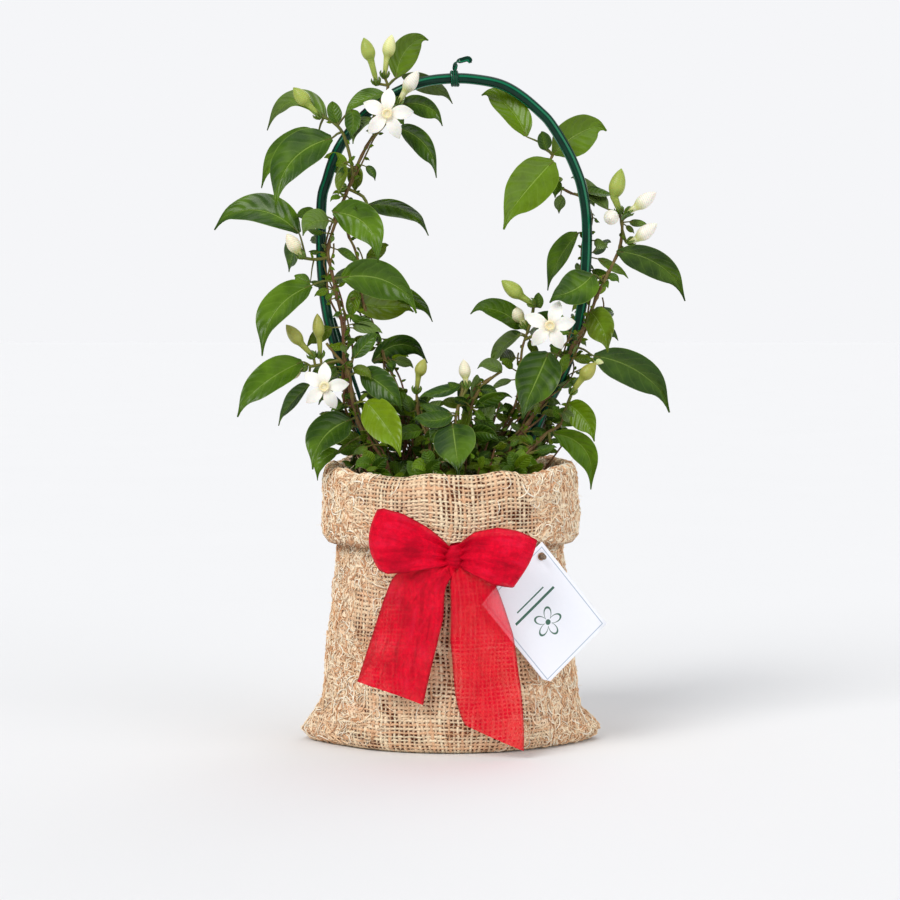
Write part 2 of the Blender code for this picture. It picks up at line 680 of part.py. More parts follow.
def make_pale_bud(name, row):
    xf, zf, xn, zn, xt, zt, radius, near, far = row
    foot, tip = seen(xf, zf, near), seen(xt, zt, far)
    neck = seen(xn, zn, near + (far - near) * 0.25)
    points, faces = bud_shape(foot, neck, tip, radius)
    return shade(add_body(name, points, faces, "bud"))


def make_bloom(name, centre, reach, foot, directions):
    mouth = seen(*centre)
    back = seen(*foot)
    throat = tube_shape([back, (back + mouth) / 2, mouth], TUBE_RADII, TUBE_SIDES)
    pieces = [add_body(name, *throat, "petal")]
    for order, degrees in enumerate(directions):
        way = Vector((math.cos(math.radians(degrees)), 0.0, math.sin(math.radians(degrees))))
        start = mouth + Vector((0.0, PETAL_STAGGER * (order % 3) + 0.5, 0.0)) + way
        span = way * (reach - 1.0) + Vector((0.0, PETAL_BACKWARD, 0.0))
        line = [start + span * t - Vector((0.0, PETAL_BULGE * math.sin(math.pi * t), 0.0))
                for t, _ in PETAL_STATIONS]
        halves = [share * reach * PETAL_WIDTH / 2 for _, share in PETAL_STATIONS]
        shape = blade_shape(line, halves, PETAL_FOLD, 0.0, [BLADE] * len(line))
        pieces.append(add_body(name + "_petal", *shape, "petal"))
    return shade(boolean(pieces[0], pieces[1:], "UNION", "MANIFOLD"))


# Sack: rings from the outer foot, up the wall, over the cuff and down inside
# Half width, half depth, height, ear, and whether the ring belongs to the cuff

SACK_RINGS = (
    (66.0, 46.0, 0.0, 6.0, 0), (74.0, 52.0, 1.5, 10.0, 0), (77.5, 55.0, 7.0, 12.0, 0),
    (78.5, 58.0, 15.0, 5.0, 0), (77.5, 59.5, 24.0, 0.0, 0), (74.5, 61.0, 48.0, 0.0, 0),
    (71.0, 64.0, 85.0, 0.0, 0), (68.0, 65.5, 108.0, 0.0, 0), (67.0, 66.0, 150.0, 0.0, 1),
    (68.6, 67.0, 158.0, 0.0, 1), (72.6, 69.6, 158.0, 0.0, 1), (73.3, 70.2, 123.5, 0.0, 0),
    (75.6, 72.6, 122.0, 0.0, 0), (76.4, 73.4, 126.0, 0.0, 0), (76.4, 73.2, 152.0, 0.0, 1),
    (75.0, 72.0, 162.0, 0.0, 1), (72.0, 69.4, 166.0, 0.0, 1), (68.6, 66.4, 166.0, 0.0, 1),
    (65.8, 63.8, 162.0, 0.0, 1), (64.2, 63.2, 150.0, 0.0, 1), (64.8, 63.0, 108.0, 0.0, 0),
    (68.0, 60.8, 85.0, 0.0, 0), (71.4, 58.0, 48.0, 0.0, 0), (73.5, 55.0, 15.0, 0.0, 0),
    (68.0, 50.0, 3.0, 0.0, 0),
)


def sack_point(ring, angle):
    half_x, half_y, height, ear, on_cuff = ring
    lobe = 1 + LOBE_DEPTH * math.sin(SACK_WALL_LOBES * angle + 0.7) * min(1.0, height / 20)
    reach = half_x * lobe + ear * abs(math.cos(angle)) ** EAR_SHARPNESS
    x, y = reach * math.cos(angle), half_y * lobe * math.sin(angle)
    return Vector((x, y, height + on_cuff * RIM_TILT * math.sin(angle)))


def make_sack():
    count = SACK_AROUND
    points = [sack_point(ring, 2 * math.pi * k / count) for ring in SACK_RINGS for k in range(count)]
    faces = []
    for i in range(len(SACK_RINGS) - 1):
        for k in range(count):
            a, b = i * count + k, i * count + (k + 1) % count
            faces.append((a, b, b + count, a + count))
    faces.append(tuple(reversed(range(count))))
    faces.append(tuple(range(len(points) - count, len(points))))
    return shade(add_body("sack", points, faces, "burlap"), 70)


def turned(name, profile, around, material):
    """Turn a closed profile of (radius, height) pairs, whose two ends lie on the axis."""
    points, faces = [Vector((0.0, 0.0, profile[0][1]))], []
    rings = profile[1:-1]
    for radius, height in rings:
        for k in range(around):
            turn = 2 * math.pi * k / around
            points.append(Vector((radius * math.cos(turn), radius * math.sin(turn), height)))
    points.append(Vector((0.0, 0.0, profile[-1][1])))
    for k in range(around):
        after = (k + 1) % around
        faces.append((0, 1 + after, 1 + k))
        for i in range(len(rings) - 1):
            a, b = 1 + i * around + k, 1 + i * around + after
            faces.append((a, b, b + around, a + around))
        top = 1 + (len(rings) - 1) * around
        faces.append((top + k, top + after, len(points) - 1))
    return add_body(name, points, faces, material)


def make_pot():
    inner = POT_RIM_RADIUS - POT_WALL
    top = POT_BOTTOM + POT_HEIGHT
    lip = top - POT_LIP_HEIGHT
    floor = POT_BOTTOM + POT_WALL
    profile = (
        (0.0, POT_BOTTOM), (POT_BASE_RADIUS, POT_BOTTOM), (POT_RIM_RADIUS - POT_LIP_STEP, lip),
        (POT_RIM_RADIUS, lip), (POT_RIM_RADIUS, top), (inner, top), (inner - POT_LIP_STEP, lip),
        (POT_BASE_RADIUS - POT_WALL, floor), (0.0, floor),
    )
    return shade(turned("nursery_pot", profile, POT_AROUND, "pot_plastic"), 40)


def all_feet():
    feet = [(foot, low) for plan in SPRAYS.values() for foot, low, _, _ in plan["stems"]]
    feet.extend((foot, HOOP_RADIUS) for foot in HOOP_FEET)
    feet.append((WIRE_FOOT, WIRE_RADIUS))
    return feet


def make_soil():
    """Filled pot of soil, with a plain hole for each stem and each leg of the hoop."""
    floor = POT_BOTTOM + POT_WALL + GAP
    low = POT_BASE_RADIUS - POT_WALL - GAP
    span = POT_HEIGHT - POT_LIP_HEIGHT - POT_WALL
    slope = (POT_RIM_RADIUS - POT_WALL - POT_LIP_STEP - low) / span
    shoulder = SOIL_TOP - SOIL_EDGE_DROP
    high = low + slope * (shoulder - floor) - GAP
    rise = SOIL_TOP + SOIL_CROWN
    profile = ((0.0, floor), (low - 2 * GAP, floor), (high, shoulder), (high - SOIL_EDGE_IN, SOIL_TOP),
               (0.0, rise))
    soil = turned("soil", profile, POT_AROUND, "soil")
    cutters = []
    for (x, y), radius in all_feet():
        wide = (radius + HOLE_CLEARANCE) / math.cos(math.pi / HOLE_SIDES)
        ends = [Vector((x, y, STEM_FOOT - 0.5)), Vector((x, y, rise + 5))]
        cutters.append(add_tube("hole", ends, wide, HOLE_SIDES, "soil"))
    return shade(boolean(soil, cutters, "DIFFERENCE"), 40)


# Hoop and its wire

HOOP_FEET = ((-38.0, 0.0), (30.0, 0.0))
HOOP_LINE = (
    (-40, 142), (-43.5, 154), (-47.7, 165.6), (-51.9, 180.6), (-59.1, 204.6), (-66.3, 228.6),
    (-72.9, 252.6), (-76.2, 276.6), (-77.1, 300.6), (-76.5, 324.6), (-73.5, 335.4), (-69.9, 346.8),
    (-64.5, 357.6), (-54.9, 370.2), (-42.9, 381), (-29.7, 388.8), (-14.7, 394.2), (1.5, 396),
    (15.3, 395.4), (30.3, 392.4), (42.3, 385.8), (54.3, 375.6), (60.3, 369), (69.3, 354.6),
    (75, 342.6), (78.9, 330.6), (81.6, 312.6), (81.6, 288.6), (79.5, 264.6), (74.7, 240.6),
    (66.9, 217.8), (57.3, 199.8), (48.3, 180.6), (40.3, 164), (34, 145),
)
WIRE_FOOT = (-36.0, 12.0)
WIRE_LINE = (
    (-36.5, 142, 12), (-40, 158, 9), (-45, 175, 6), (-51.5, 198, 6), (-59.7, 222.6, 6),
    (-64, 236, 6), (-69.9, 253.8, 5.6),
)


def make_hoop():
    left, right = HOOP_FEET
    points = foot_path(left)
    points.extend(Vector((x, 0.0, z)) for x, z in HOOP_LINE)
    points.extend(reversed(foot_path(right)))
    path = smooth_path(points, 13.0)
    return shade(add_tube("hoop", path, HOOP_RADIUS, HOOP_SIDES, "hoop_green"), 60)


def make_wire():
    path = smooth_path(foot_path(WIRE_FOOT) + [seen(*spot) for spot in WIRE_LINE], 12.0)
    return shade(add_tube("hoop_wire", path, WIRE_RADIUS, 6, "hoop_green"), 70)


def ring_shape(centre, axis, radius, thick, around, sides):
    """A closed ring of round wire about an axis."""
    across = axis.orthogonal().normalized()
    up = axis.cross(across)
    points, faces = [], []
    for i in range(around):
        turn = 2 * math.pi * i / around
        out = across * math.cos(turn) + up * math.sin(turn)
        for k in range(sides):
            spin = 2 * math.pi * k / sides
            points.append(centre + out * (radius + thick * math.cos(spin)) + axis * thick * math.sin(spin))
    for i in range(around):
        for k in range(sides):
            a, b = i * sides + k, i * sides + (k + 1) % sides
            c, d = ((i + 1) % around) * sides + (k + 1) % sides, ((i + 1) % around) * sides + k
            faces.append((a, b, c, d))
    return points, faces


TIE_WRAPS = (0.9, 4.5)
TIE_CENTRE = 395.9
TIE_BRIDGE = ((0.4, 0.0, 400.1), (5.0, 0.0, 400.1))
TIE_TWIST = (
    (2.9, 0, 399.9), (3.0, 0, 402.8), (4.0, 0, 405.6), (7.4, -0.3, 406.8), (11.0, -0.8, 407.4),
    (12.1, -1, 405.0),
)


def make_tie():
    """Two wraps round the top of the hoop, a twist above them and a bent flat end."""
    axis = Vector((1.0, 0.0, 0.03)).normalized()
    pieces = []
    for x in TIE_WRAPS:
        centre = Vector((x, 0.0, TIE_CENTRE))
        pieces.append(add_body("hoop_tie", *ring_shape(centre, axis, TIE_RING, TIE_RADIUS, 12, 5), "hoop_green"))
    bridge = [Vector(spot) for spot in TIE_BRIDGE]
    twist = [Vector(spot) for spot in TIE_TWIST]
    pieces.append(add_tube("tie_bridge", bridge, 1.0, 6, "hoop_green"))
    pieces.append(add_tube("tie_twist", smooth_path(twist, 4.0), 1.5, 6, "hoop_green", 0.9))
    return shade(boolean(pieces[0], pieces[1:], "UNION", "MANIFOLD"))


# Ribbon: stations of x, z, depth from the knot, width and slant of the width from upright

BOW_LEFT = (
    (1, 110.5, 0, 10, 0), (-12, 114.9, -7, 24.5, 2), (-27, 118, -11, 36, 3), (-39, 119.4, -10, 40, 3),
    (-46.8, 120.4, -5, 24, 2), (-42, 120, 0.5, 38, 3), (-32, 119, 2.7, 34, 4), (-14, 115, 2.7, 22, 4),
    (1, 110.5, 1.5, 10, 0),
)
BOW_RIGHT = (
    (3, 110.5, 0, 10, 0), (14, 111.8, -7, 26, -2), (27, 110.4, -12, 35, -5), (37, 108.7, -11, 35, -13),
    (45.6, 105.7, -6, 32, -26), (43, 107, 0.5, 31, -24), (32, 109.5, 2.7, 28, -12), (16, 112, 2.7, 20, -3),
    (3, 110.5, 1.5, 10, 0),
)
TAIL_LEFT = (
    (0, 107.5, 0, 9, 72), (-9, 102, -4, 22, 72), (-18.1, 94, -4, 32, 72), (-22.2, 77.8, -1, 37.8, 72),
    (-31, 46.4, 5.5, 40.5, 71), (-36.1, 27.3, 9, 42.5, 69.6),
)
TAIL_RIGHT = (
    (4, 107, 0, 9, 92), (13, 94, -3, 26, 97), (19, 62, 4, 38, 97), (22.8, 30, 8, 40, 97),
    (27, -0.3, 9, 38.5, 66),
)
KNOT = (2.6, 110.6, -76.9)
KNOT_FLATNESS = 0.72
KNOT_PROFILE = ((-7.2, 2.4), (-5.2, 4.8), (-1.8, 6.2), (1.8, 6.2), (5.2, 4.8), (7.2, 2.4))


def strip_shape(stations, thick):
    """A flat band whose width leans by the station's slant in the front view."""
    centres = [seen(x, z, KNOT[2] + depth) for x, z, depth, _, _ in stations]
    points, faces = [], []
    for centre, along, station in zip(centres, tangents(centres), stations):
        slant = math.radians(station[4])
        side = Vector((-math.sin(slant), 0.0, math.cos(slant)))
        out = along.cross(side).normalized()
        half = side * station[3] / 2 * (VIEW_DISTANCE + centre.y) / VIEW_DISTANCE
        skin = out * thick / 2
        points.extend((centre - half + skin, centre + half + skin, centre + half - skin, centre - half - skin))
    for i in range(len(stations) - 1):
        a, b = i * 4, i * 4 + 4
        faces.extend(((a, a + 1, b + 1), (a, b + 1, b), (a + 3, b + 2, a + 2), (a + 3, b + 3, b + 2)))
        faces.extend(((a + 1, a + 2, b + 2), (a + 1, b + 2, b + 1), (a + 3, a, b), (a + 3, b, b + 3)))
    end = len(points) - 4
    faces.extend(((3, 2, 1, 0), (end, end + 1, end + 2, end + 3)))
    return points, faces


def make_bow():
    heart = seen(*KNOT)
    spine = [heart + Vector((0.0, 0.0, lift)) for lift, _ in KNOT_PROFILE]
    knot = tube_shape(spine, [radius for _, radius in KNOT_PROFILE], 10)
    pieces = [add_body("ribbon_bow", *knot, "ribbon")]
    for point in pieces[0].data.vertices:
        point.co.y = heart.y * MM + (point.co.y - heart.y * MM) * KNOT_FLATNESS
    for stations in (BOW_LEFT, BOW_RIGHT, TAIL_LEFT, TAIL_RIGHT):
        pieces.append(add_body("ribbon_part", *strip_shape(stations, RIBBON), "ribbon"))
    return shade(boolean(pieces[0], pieces[1:], "UNION", "MANIFOLD"), 60)


# Card, hung by one corner under the cuff and leaning on the sack's side

CARD_CORNER = Vector((53.0, -54.2, 124.3))
CARD_LEAN = math.radians(24.0)
CARD_TURN = math.radians(-49.5)
CARD_HOLE_IN = 6.0
FLANGE_RISE = 0.7
TWINE_ROUTE = ((53.5, -44.8, 121.5), (53.6, -44.9, 128), (53.6, -45.1, 140))
TWINE_KNOT = ((-1.5, 0.7), (-0.8, 1.6), (0.8, 1.6), (1.5, 0.7))
TWINE_KNOT_OUT = 2.7


def card_axes():
    """The card's long way, its short way and the way that its printed face looks."""
    level = Vector((math.cos(CARD_LEAN), math.sin(CARD_LEAN), 0.0))
    up = Vector((0.0, 0.0, 1.0))
    long_way = level * math.cos(CARD_TURN) + up * math.sin(CARD_TURN)
    short_way = level * math.sin(CARD_TURN) - up * math.cos(CARD_TURN)
    return long_way, short_way, Vector((math.sin(CARD_LEAN), -math.cos(CARD_LEAN), 0.0))


def slab(name, corners, facing, thick, material):
    points = [corner + facing * side * thick / 2 for side in (1, -1) for corner in corners]
    faces = [(0, 1, 2, 3), (7, 6, 5, 4)]
    faces.extend((k, k + 4, (k + 1) % 4 + 4, (k + 1) % 4) for k in range(4))
    return add_body(name, points, faces, material)


def eyelet_centre():
    long_way, short_way, _ = card_axes()
    return CARD_CORNER + (long_way + short_way) * CARD_HOLE_IN


def make_card():
    long_way, short_way, facing = card_axes()
    far = CARD_CORNER + long_way * CARD_LENGTH
    corners = [CARD_CORNER, far, far + short_way * CARD_WIDTH, CARD_CORNER + short_way * CARD_WIDTH]
    card = slab("card", corners, facing, CARD_THICKNESS, "card")
    centre = eyelet_centre()
    wide = (EYELET_RADIUS + GAP) / math.cos(math.pi / 16)
    cutter = add_tube("card_hole", [centre - facing * 3, centre + facing * 3], wide, 16, "card")
    return boolean(card, [cutter], "DIFFERENCE")


def make_eyelet():
    """A short sleeve through the card with a flange on its face."""
    _, _, facing = card_axes()
    centre = eyelet_centre()
    face = CARD_THICKNESS / 2 + GAP
    body_ends = [centre - facing * face, centre + facing * face]
    flange_ends = [centre + facing * (face - 0.01), centre + facing * (face + FLANGE_RISE)]
    hole_ends = [centre - facing * 4, centre + facing * 4]
    eyelet = add_tube("card_eyelet", body_ends, EYELET_RADIUS, 12, "brass")
    flange = add_tube("flange", flange_ends, EYELET_FLANGE, 12, "brass")
    boolean(eyelet, [flange], "UNION")
    cutter = add_tube("eyelet_hole", hole_ends, EYELET_HOLE, 12, "brass")
    return shade(boolean(eyelet, [cutter], "DIFFERENCE"), 40)


def make_twine():
    """A knotted end in front of the eyelet, then through it and up under the cuff."""
    _, _, facing = card_axes()
    centre = eyelet_centre()
    knot_at = centre + facing * (CARD_THICKNESS / 2 + GAP + TWINE_KNOT_OUT)
    inside = centre - facing * 2.2
    path = [knot_at, centre, inside] + [Vector(spot) for spot in TWINE_ROUTE]
    twine = add_tube("card_twine", smooth_path(path, 3.0), TWINE_RADIUS, 6, "twine")
    ball = [knot_at + facing * reach for reach, _ in TWINE_KNOT]
    knot = add_body("twine_knot", *tube_shape(ball, [radius for _, radius in TWINE_KNOT], 8), "twine")
    return shade(boolean(twine, [knot], "UNION"))


make_sack()
make_pot()
make_soil()
make_hoop()
make_wire()
make_tie()
for label, plan in SPRAYS.items():
    make_spray(label, plan)
for label, row in PALE_BUDS.items():
    make_pale_bud(label, row)
for label, (centre, reach, foot, directions) in BLOOMS.items():
    make_bloom(label, centre, reach, foot, directions)
make_bow()
make_card()
make_eyelet()
make_twine()
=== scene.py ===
import math
import random

import bmesh
import bpy
import numpy as np
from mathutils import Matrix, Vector, noise


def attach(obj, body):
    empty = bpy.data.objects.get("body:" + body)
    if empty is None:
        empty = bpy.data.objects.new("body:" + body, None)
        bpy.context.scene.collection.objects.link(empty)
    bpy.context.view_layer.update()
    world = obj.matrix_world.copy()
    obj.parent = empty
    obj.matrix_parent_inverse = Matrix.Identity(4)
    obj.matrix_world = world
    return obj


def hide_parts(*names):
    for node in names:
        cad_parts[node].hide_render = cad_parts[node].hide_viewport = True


# Potted stephanotis on a hoop, in a burlap sack with an organza bow and a card.
# Tables are in millimetres: points on the front elevation in the plane Y = 0, each with a depth.

print("frame: loading the packed plant")
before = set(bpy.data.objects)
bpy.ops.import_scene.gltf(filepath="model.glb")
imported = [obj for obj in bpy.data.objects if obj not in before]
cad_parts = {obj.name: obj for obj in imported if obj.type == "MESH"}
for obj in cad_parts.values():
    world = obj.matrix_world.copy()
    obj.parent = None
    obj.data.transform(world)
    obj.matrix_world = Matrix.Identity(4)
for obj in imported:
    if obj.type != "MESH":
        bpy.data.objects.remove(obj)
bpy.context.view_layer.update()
mm = 0.001
front = Vector((0.0, -1.0, 0.0))


# camera and lights

studio = {
    "viewDistance": 1300.0,  # camera to the plane Y = 0
    "viewHeight": 241.0,
    "pitchDown": 2.93,  # degrees
    "focalPixels": 2167.0,
    "framePixels": 900,
    "sensor": 36.0,
    "floorSize": 400.0,  # metres, so that its far edge meets the backdrop
    "backdrop": (0.915, 0.92, 0.94),
    "ambient": (0.36, 0.365, 0.38),
    "floorColour": (0.825, 0.828, 0.838),
    # where it comes from, strength, softness in degrees, colour
    "lights": {
        "keyLeft": ((-0.55, -0.7, 0.75), 1.95, 30.0, (1.0, 0.99, 0.97)),
        "fillRight": ((0.9, -0.75, 0.35), 1.0, 50.0, (0.97, 0.985, 1.0)),
        "topSoft": ((0.15, 0.3, 1.0), 0.72, 60.0, (1.0, 1.0, 1.0)),
        "backRim": ((0.5, 1.0, 0.5), 0.4, 40.0, (0.97, 0.99, 1.0)),
    },
}


def addObject(name, data):
    made = bpy.data.objects.new(name, data)
    bpy.context.scene.collection.objects.link(made)
    return made


def buildCamera():
    lens = bpy.data.cameras.new("photoView")
    lens.sensor_width = studio["sensor"]
    lens.lens = studio["sensor"] * studio["focalPixels"] / studio["framePixels"]
    camera = addObject("photoView", lens)
    camera.location = (0.0, -studio["viewDistance"] * mm, studio["viewHeight"] * mm)
    camera.rotation_euler = (math.radians(90 - studio["pitchDown"]), 0.0, 0.0)
    bpy.context.scene.camera = camera
    bpy.context.scene.view_settings.view_transform = "Standard"


def buildLights():
    for name, (place, strength, softness, colour) in studio["lights"].items():
        data = bpy.data.lights.new(name, "SUN")
        data.energy = strength
        data.angle = math.radians(softness)
        data.color = colour
        lamp = addObject(name, data)
        lamp.location = place
        lamp.rotation_euler = (-Vector(place)).to_track_quat("-Z", "Y").to_euler()


# shader helpers

# an output socket that takes part in plain sums
class Wire:
    def __init__(self, socket):
        self.socket = socket
        self.tree = socket.id_data

    def __add__(self, other):
        return calc("ADD", self, other)

    def __sub__(self, other):
        return calc("SUBTRACT", self, other)

    def __rsub__(self, other):
        return calc("SUBTRACT", other, self)

    def __mul__(self, other):
        return calc("MULTIPLY", self, other)

    def __truediv__(self, other):
        return calc("DIVIDE", self, other)

    def __pow__(self, power):
        return calc("POWER", self, power)

    def __abs__(self):
        return calc("ABSOLUTE", self)


def feed(socket, value):  # joins a wire to the socket, or sets a plain value on it
    if isinstance(value, Wire):
        value.tree.links.new(value.socket, socket)
    else:
        socket.default_value = value


def newNode(tree, kind, inputs=None, **settings):
    node = tree.nodes.new(kind)
    for key, value in settings.items():
        setattr(node, key, value)
    for key, value in (inputs or {}).items():
        feed(node.inputs[key], value)
    return node


def addNode(tree, kind, inputs=None, output=0, **settings):  # a node of which one output is used
    return Wire(newNode(tree, kind, inputs, **settings).outputs[output])


def calc(operation, first, second=0.0, third=0.0, clamp=False):
    tree = next(value.tree for value in (first, second, third) if isinstance(value, Wire))
    inputs = {0: first, 1: second, 2: third}
    return addNode(tree, "ShaderNodeMath", inputs, operation=operation, use_clamp=clamp)


def wave(operation, turns):  # sine or cosine of whole turns
    return calc(operation, turns * (2 * math.pi))


def vectorMath(operation, first, second):
    slot = "Scale" if operation == "SCALE" else 1
    return addNode(first.tree, "ShaderNodeVectorMath", {0: first, slot: second}, operation=operation)


def splitXYZ(vector):
    return [Wire(socket) for socket in newNode(vector.tree, "ShaderNodeSeparateXYZ", {0: vector}).outputs]


def joinXYZ(x, y, z=0.0):
    return addNode(x.tree, "ShaderNodeCombineXYZ", {"X": x, "Y": y, "Z": z})


def ease(value, low, high, toLow=0.0, toHigh=1.0):  # smooth step from one value to another
    inputs = {"Value": value, "From Min": low, "From Max": high, "To Min": toLow, "To Max": toHigh}
    return addNode(value.tree, "ShaderNodeMapRange", inputs, interpolation_type="SMOOTHSTEP")


def addNoise(vector, scale, detail, output="Fac", **others):
    inputs = {"Vector": vector, "Scale": scale, "Detail": detail, **others}
    return addNode(vector.tree, "ShaderNodeTexNoise", inputs, output)


def blendColour(share, first, second):
    return addNode(share.tree, "ShaderNodeMix", {0: share, 6: first, 7: second}, 2, data_type="RGBA")


def blendValue(share, first, second):
    return addNode(share.tree, "ShaderNodeMix", {0: share, 2: first, 3: second})


def newGroup(name, inputs, outputs):
    group = bpy.data.node_groups.new(name, "ShaderNodeTree")
    kinds = {"Colour": "NodeSocketColor", "Vector": "NodeSocketVector"}
    for direction, labels in (("INPUT", inputs), ("OUTPUT", outputs)):
        for label in labels:
            kind = kinds.get(label, "NodeSocketFloat")
            socket = group.interface.new_socket(label, in_out=direction, socket_type=kind)
            if direction == "INPUT" and inputs[label] is not None:
                socket.default_value = inputs[label]
    entry = newNode(group, "NodeGroupInput")
    given = {label: Wire(entry.outputs[label]) for label in inputs}
    return group, given, newNode(group, "NodeGroupOutput").inputs


def useGroup(tree, group, inputs):
    outputs = newNode(tree, "ShaderNodeGroup", inputs, node_tree=group).outputs
    return {socket.name: Wire(socket) for socket in outputs}


def newMaterial(name, roughness, **fixed):
    material = bpy.data.materials.new(name)
    material.use_nodes = True
    shader = material.node_tree.nodes["Principled BSDF"]
    shader.inputs["Roughness"].default_value = roughness
    for label, value in fixed.items():
        shader.inputs[label.replace("_", " ")].default_value = value
    return material, material.node_tree, shader


def dress(shader, colour, height, relief, strength):  # colour and bump; the relief is in metres
    feed(shader.inputs["Base Color"], colour)
    bump = {"Height": height, "Distance": relief, "Strength": strength}
    feed(shader.inputs["Normal"], addNode(shader.id_data, "ShaderNodeBump", bump))


def placeOf(tree):
    return addNode(tree, "ShaderNodeTexCoord", output="Object")


def uvOf(tree, name):
    return addNode(tree, "ShaderNodeUVMap", uv_map=name)


def bladeOf(tree):  # how far along and across a blade, or along and round a tube
    return splitXYZ(uvOf(tree, "blade"))[:2]


def tintOf(tree):  # the colour painted on the mesh, and its fourth channel
    outputs = newNode(tree, "ShaderNodeAttribute", attribute_name="tint").outputs
    return Wire(outputs["Color"]), Wire(outputs["Alpha"])


def linear(channel):  # screen channel 0-255 to its light value
    share = channel / 255
    return share / 12.92 if share <= 0.04045 else ((share + 0.055) / 1.055) ** 2.4


def paint(red, green, blue):
    return (linear(red), linear(green), linear(blue), 1.0)


# uneven colour and fine relief, used by every finish
def buildMottle():
    inputs = {"Colour": (1, 1, 1, 1), "Scale": 100.0, "Amount": 0.15, "Detail": 4.0}
    group, given, out = newGroup("mottle", inputs, ("Colour", "Value"))
    cloud = addNoise(placeOf(group), given["Scale"], given["Detail"], Roughness=0.6)
    gain = (cloud - 0.5) * (given["Amount"] * 2.0) + 1.0
    feed(out["Colour"], vectorMath("SCALE", given["Colour"], gain))
    feed(out["Value"], cloud)
    return group


# plain weave: yarns run through whole numbers of the vector, gaps lie between them
def buildWeave():
    inputs = {"Vector": None, "Gap": 0.4, "Wander": 0.1, "Unevenness": 0.3}
    group, given, out = newGroup("weave", inputs, ("Hole", "Height", "Yarn", "Streak"))
    drift = vectorMath("SUBTRACT", addNoise(given["Vector"], 0.9, 2.0, "Color"), (0.5, 0.5, 0.5))
    moved = vectorMath("ADD", given["Vector"], vectorMath("SCALE", drift, given["Wander"] * 4.0))
    x, y, _ = splitXYZ(moved)
    overUnder = wave("COSINE", x * 0.5) * wave("COSINE", y * 0.5)
    inGap, raised, tone, streaks = [], [], [], []
    for across, along, over, seed, stretch in ((x, y, 0.35, 3.7, (9.0, 1.1, 1.0)),
                                               (y, x, -0.35, 41.3, (1.1, 9.0, 1.0))):
        number = calc("FLOOR", across + 0.5)
        swell = addNoise(joinXYZ(number, along * 0.22, seed), 1.0, 1.0)
        fromYarn = abs(across - number)
        edge = 0.5 - given["Gap"] * 0.5 + (swell - 0.5) * given["Unevenness"]
        inGap.append(ease(fromYarn - edge, -0.03, 0.07))
        dome = calc("SUBTRACT", 1.0, (fromYarn / edge) ** 2.0, clamp=True)
        raised.append(overUnder * over + dome)
        tone.append(addNode(group, "ShaderNodeTexWhiteNoise", {"W": number + seed}, noise_dimensions="1D"))
        streaks.append(addNoise(vectorMath("MULTIPLY", moved, stretch), 1.0, 3.0))
    onTop = calc("GREATER_THAN", *raised)
    hole = inGap[0] * inGap[1]
    feed(out["Yarn"], blendValue(onTop, tone[1], tone[0]))
    feed(out["Streak"], blendValue(onTop, streaks[1], streaks[0]))
    feed(out["Hole"], hole)
    feed(out["Height"], calc("MAXIMUM", *raised) - hole * 1.2)
    return group


mottle = buildMottle()
weave = buildWeave()


def mottled(tree, colour, scale, amount, detail=4.0):  # the uneven colour, and the cloud that it follows
    made = useGroup(tree, mottle, {"Colour": colour, "Scale": scale, "Amount": amount, "Detail": detail})
    return made["Colour"], made["Value"]


# materials

burlap = {
    "cream": paint(255, 234, 198),
    "tan": paint(220, 146, 92),
    "hole": paint(92, 40, 14),
    "blush": paint(204, 142, 104),
    "speck": paint(142, 76, 38),
    "woolLight": paint(255, 238, 208),
    "woolDark": paint(200, 142, 98),
    "woolShare": 0.72,
    "woolScale": 150.0,
    "woolLoops": 27.0,
    "widestGap": 0.56,  # share of a cell
    "closestGap": 0.25,
    "wander": 0.17,
    "unevenness": 0.68,
    "relief": 0.0008,
}


def makeBurlap():
    material, tree, shader = newMaterial("burlapCloth", 0.93, Specular_IOR_Level=0.2)
    closeness = mottled(tree, burlap["tan"], 75.0, 0.1, 2.0)[1]
    gap = ease(closeness, 0.3, 0.68, burlap["widestGap"], burlap["closestGap"])
    yarn = useGroup(tree, weave, {"Vector": uvOf(tree, "weave"), "Gap": gap, "Wander": burlap["wander"],
                                  "Unevenness": burlap["unevenness"]})
    tangle = tintOf(tree)[1]
    light = calc("MULTIPLY_ADD", yarn["Yarn"], 0.7, yarn["Streak"] * 0.7, clamp=True)
    woven = blendColour(light, burlap["tan"], burlap["cream"])
    woven = blendColour(yarn["Hole"], woven, burlap["hole"])
    loops = addNoise(placeOf(tree), burlap["woolScale"], 1.0, Distortion=0.9)
    strand = ease(calc("SINE", loops * burlap["woolLoops"]), -0.95, 0.25)
    wool = blendColour(strand, burlap["woolDark"], burlap["woolLight"])
    patch = mottled(tree, wool, 60.0, 0.16)[0]
    speck = mottled(tree, wool, 820.0, 0.1, 1.0)[1]
    patch = blendColour(ease(speck, 0.56, 0.66, toHigh=0.8), patch, burlap["speck"])
    colour = blendColour(tangle * burlap["woolShare"], woven, patch)
    colour, cloud = mottled(tree, colour, 55.0, 0.16, 3.0)
    colour = blendColour(ease(cloud, 0.52, 0.74, toHigh=0.35), colour, burlap["blush"])
    dress(shader, colour, blendValue(tangle, yarn["Height"], strand), burlap["relief"], 1.0)
    return material


def makeFibre():
    material, tree, shader = newMaterial("burlapFibre", 0.9, Specular_IOR_Level=0.2)
    colour, cloud = mottled(tree, tintOf(tree)[0], 700.0, 0.2)
    dress(shader, colour, cloud, relief=0.0002, strength=0.4)
    return material


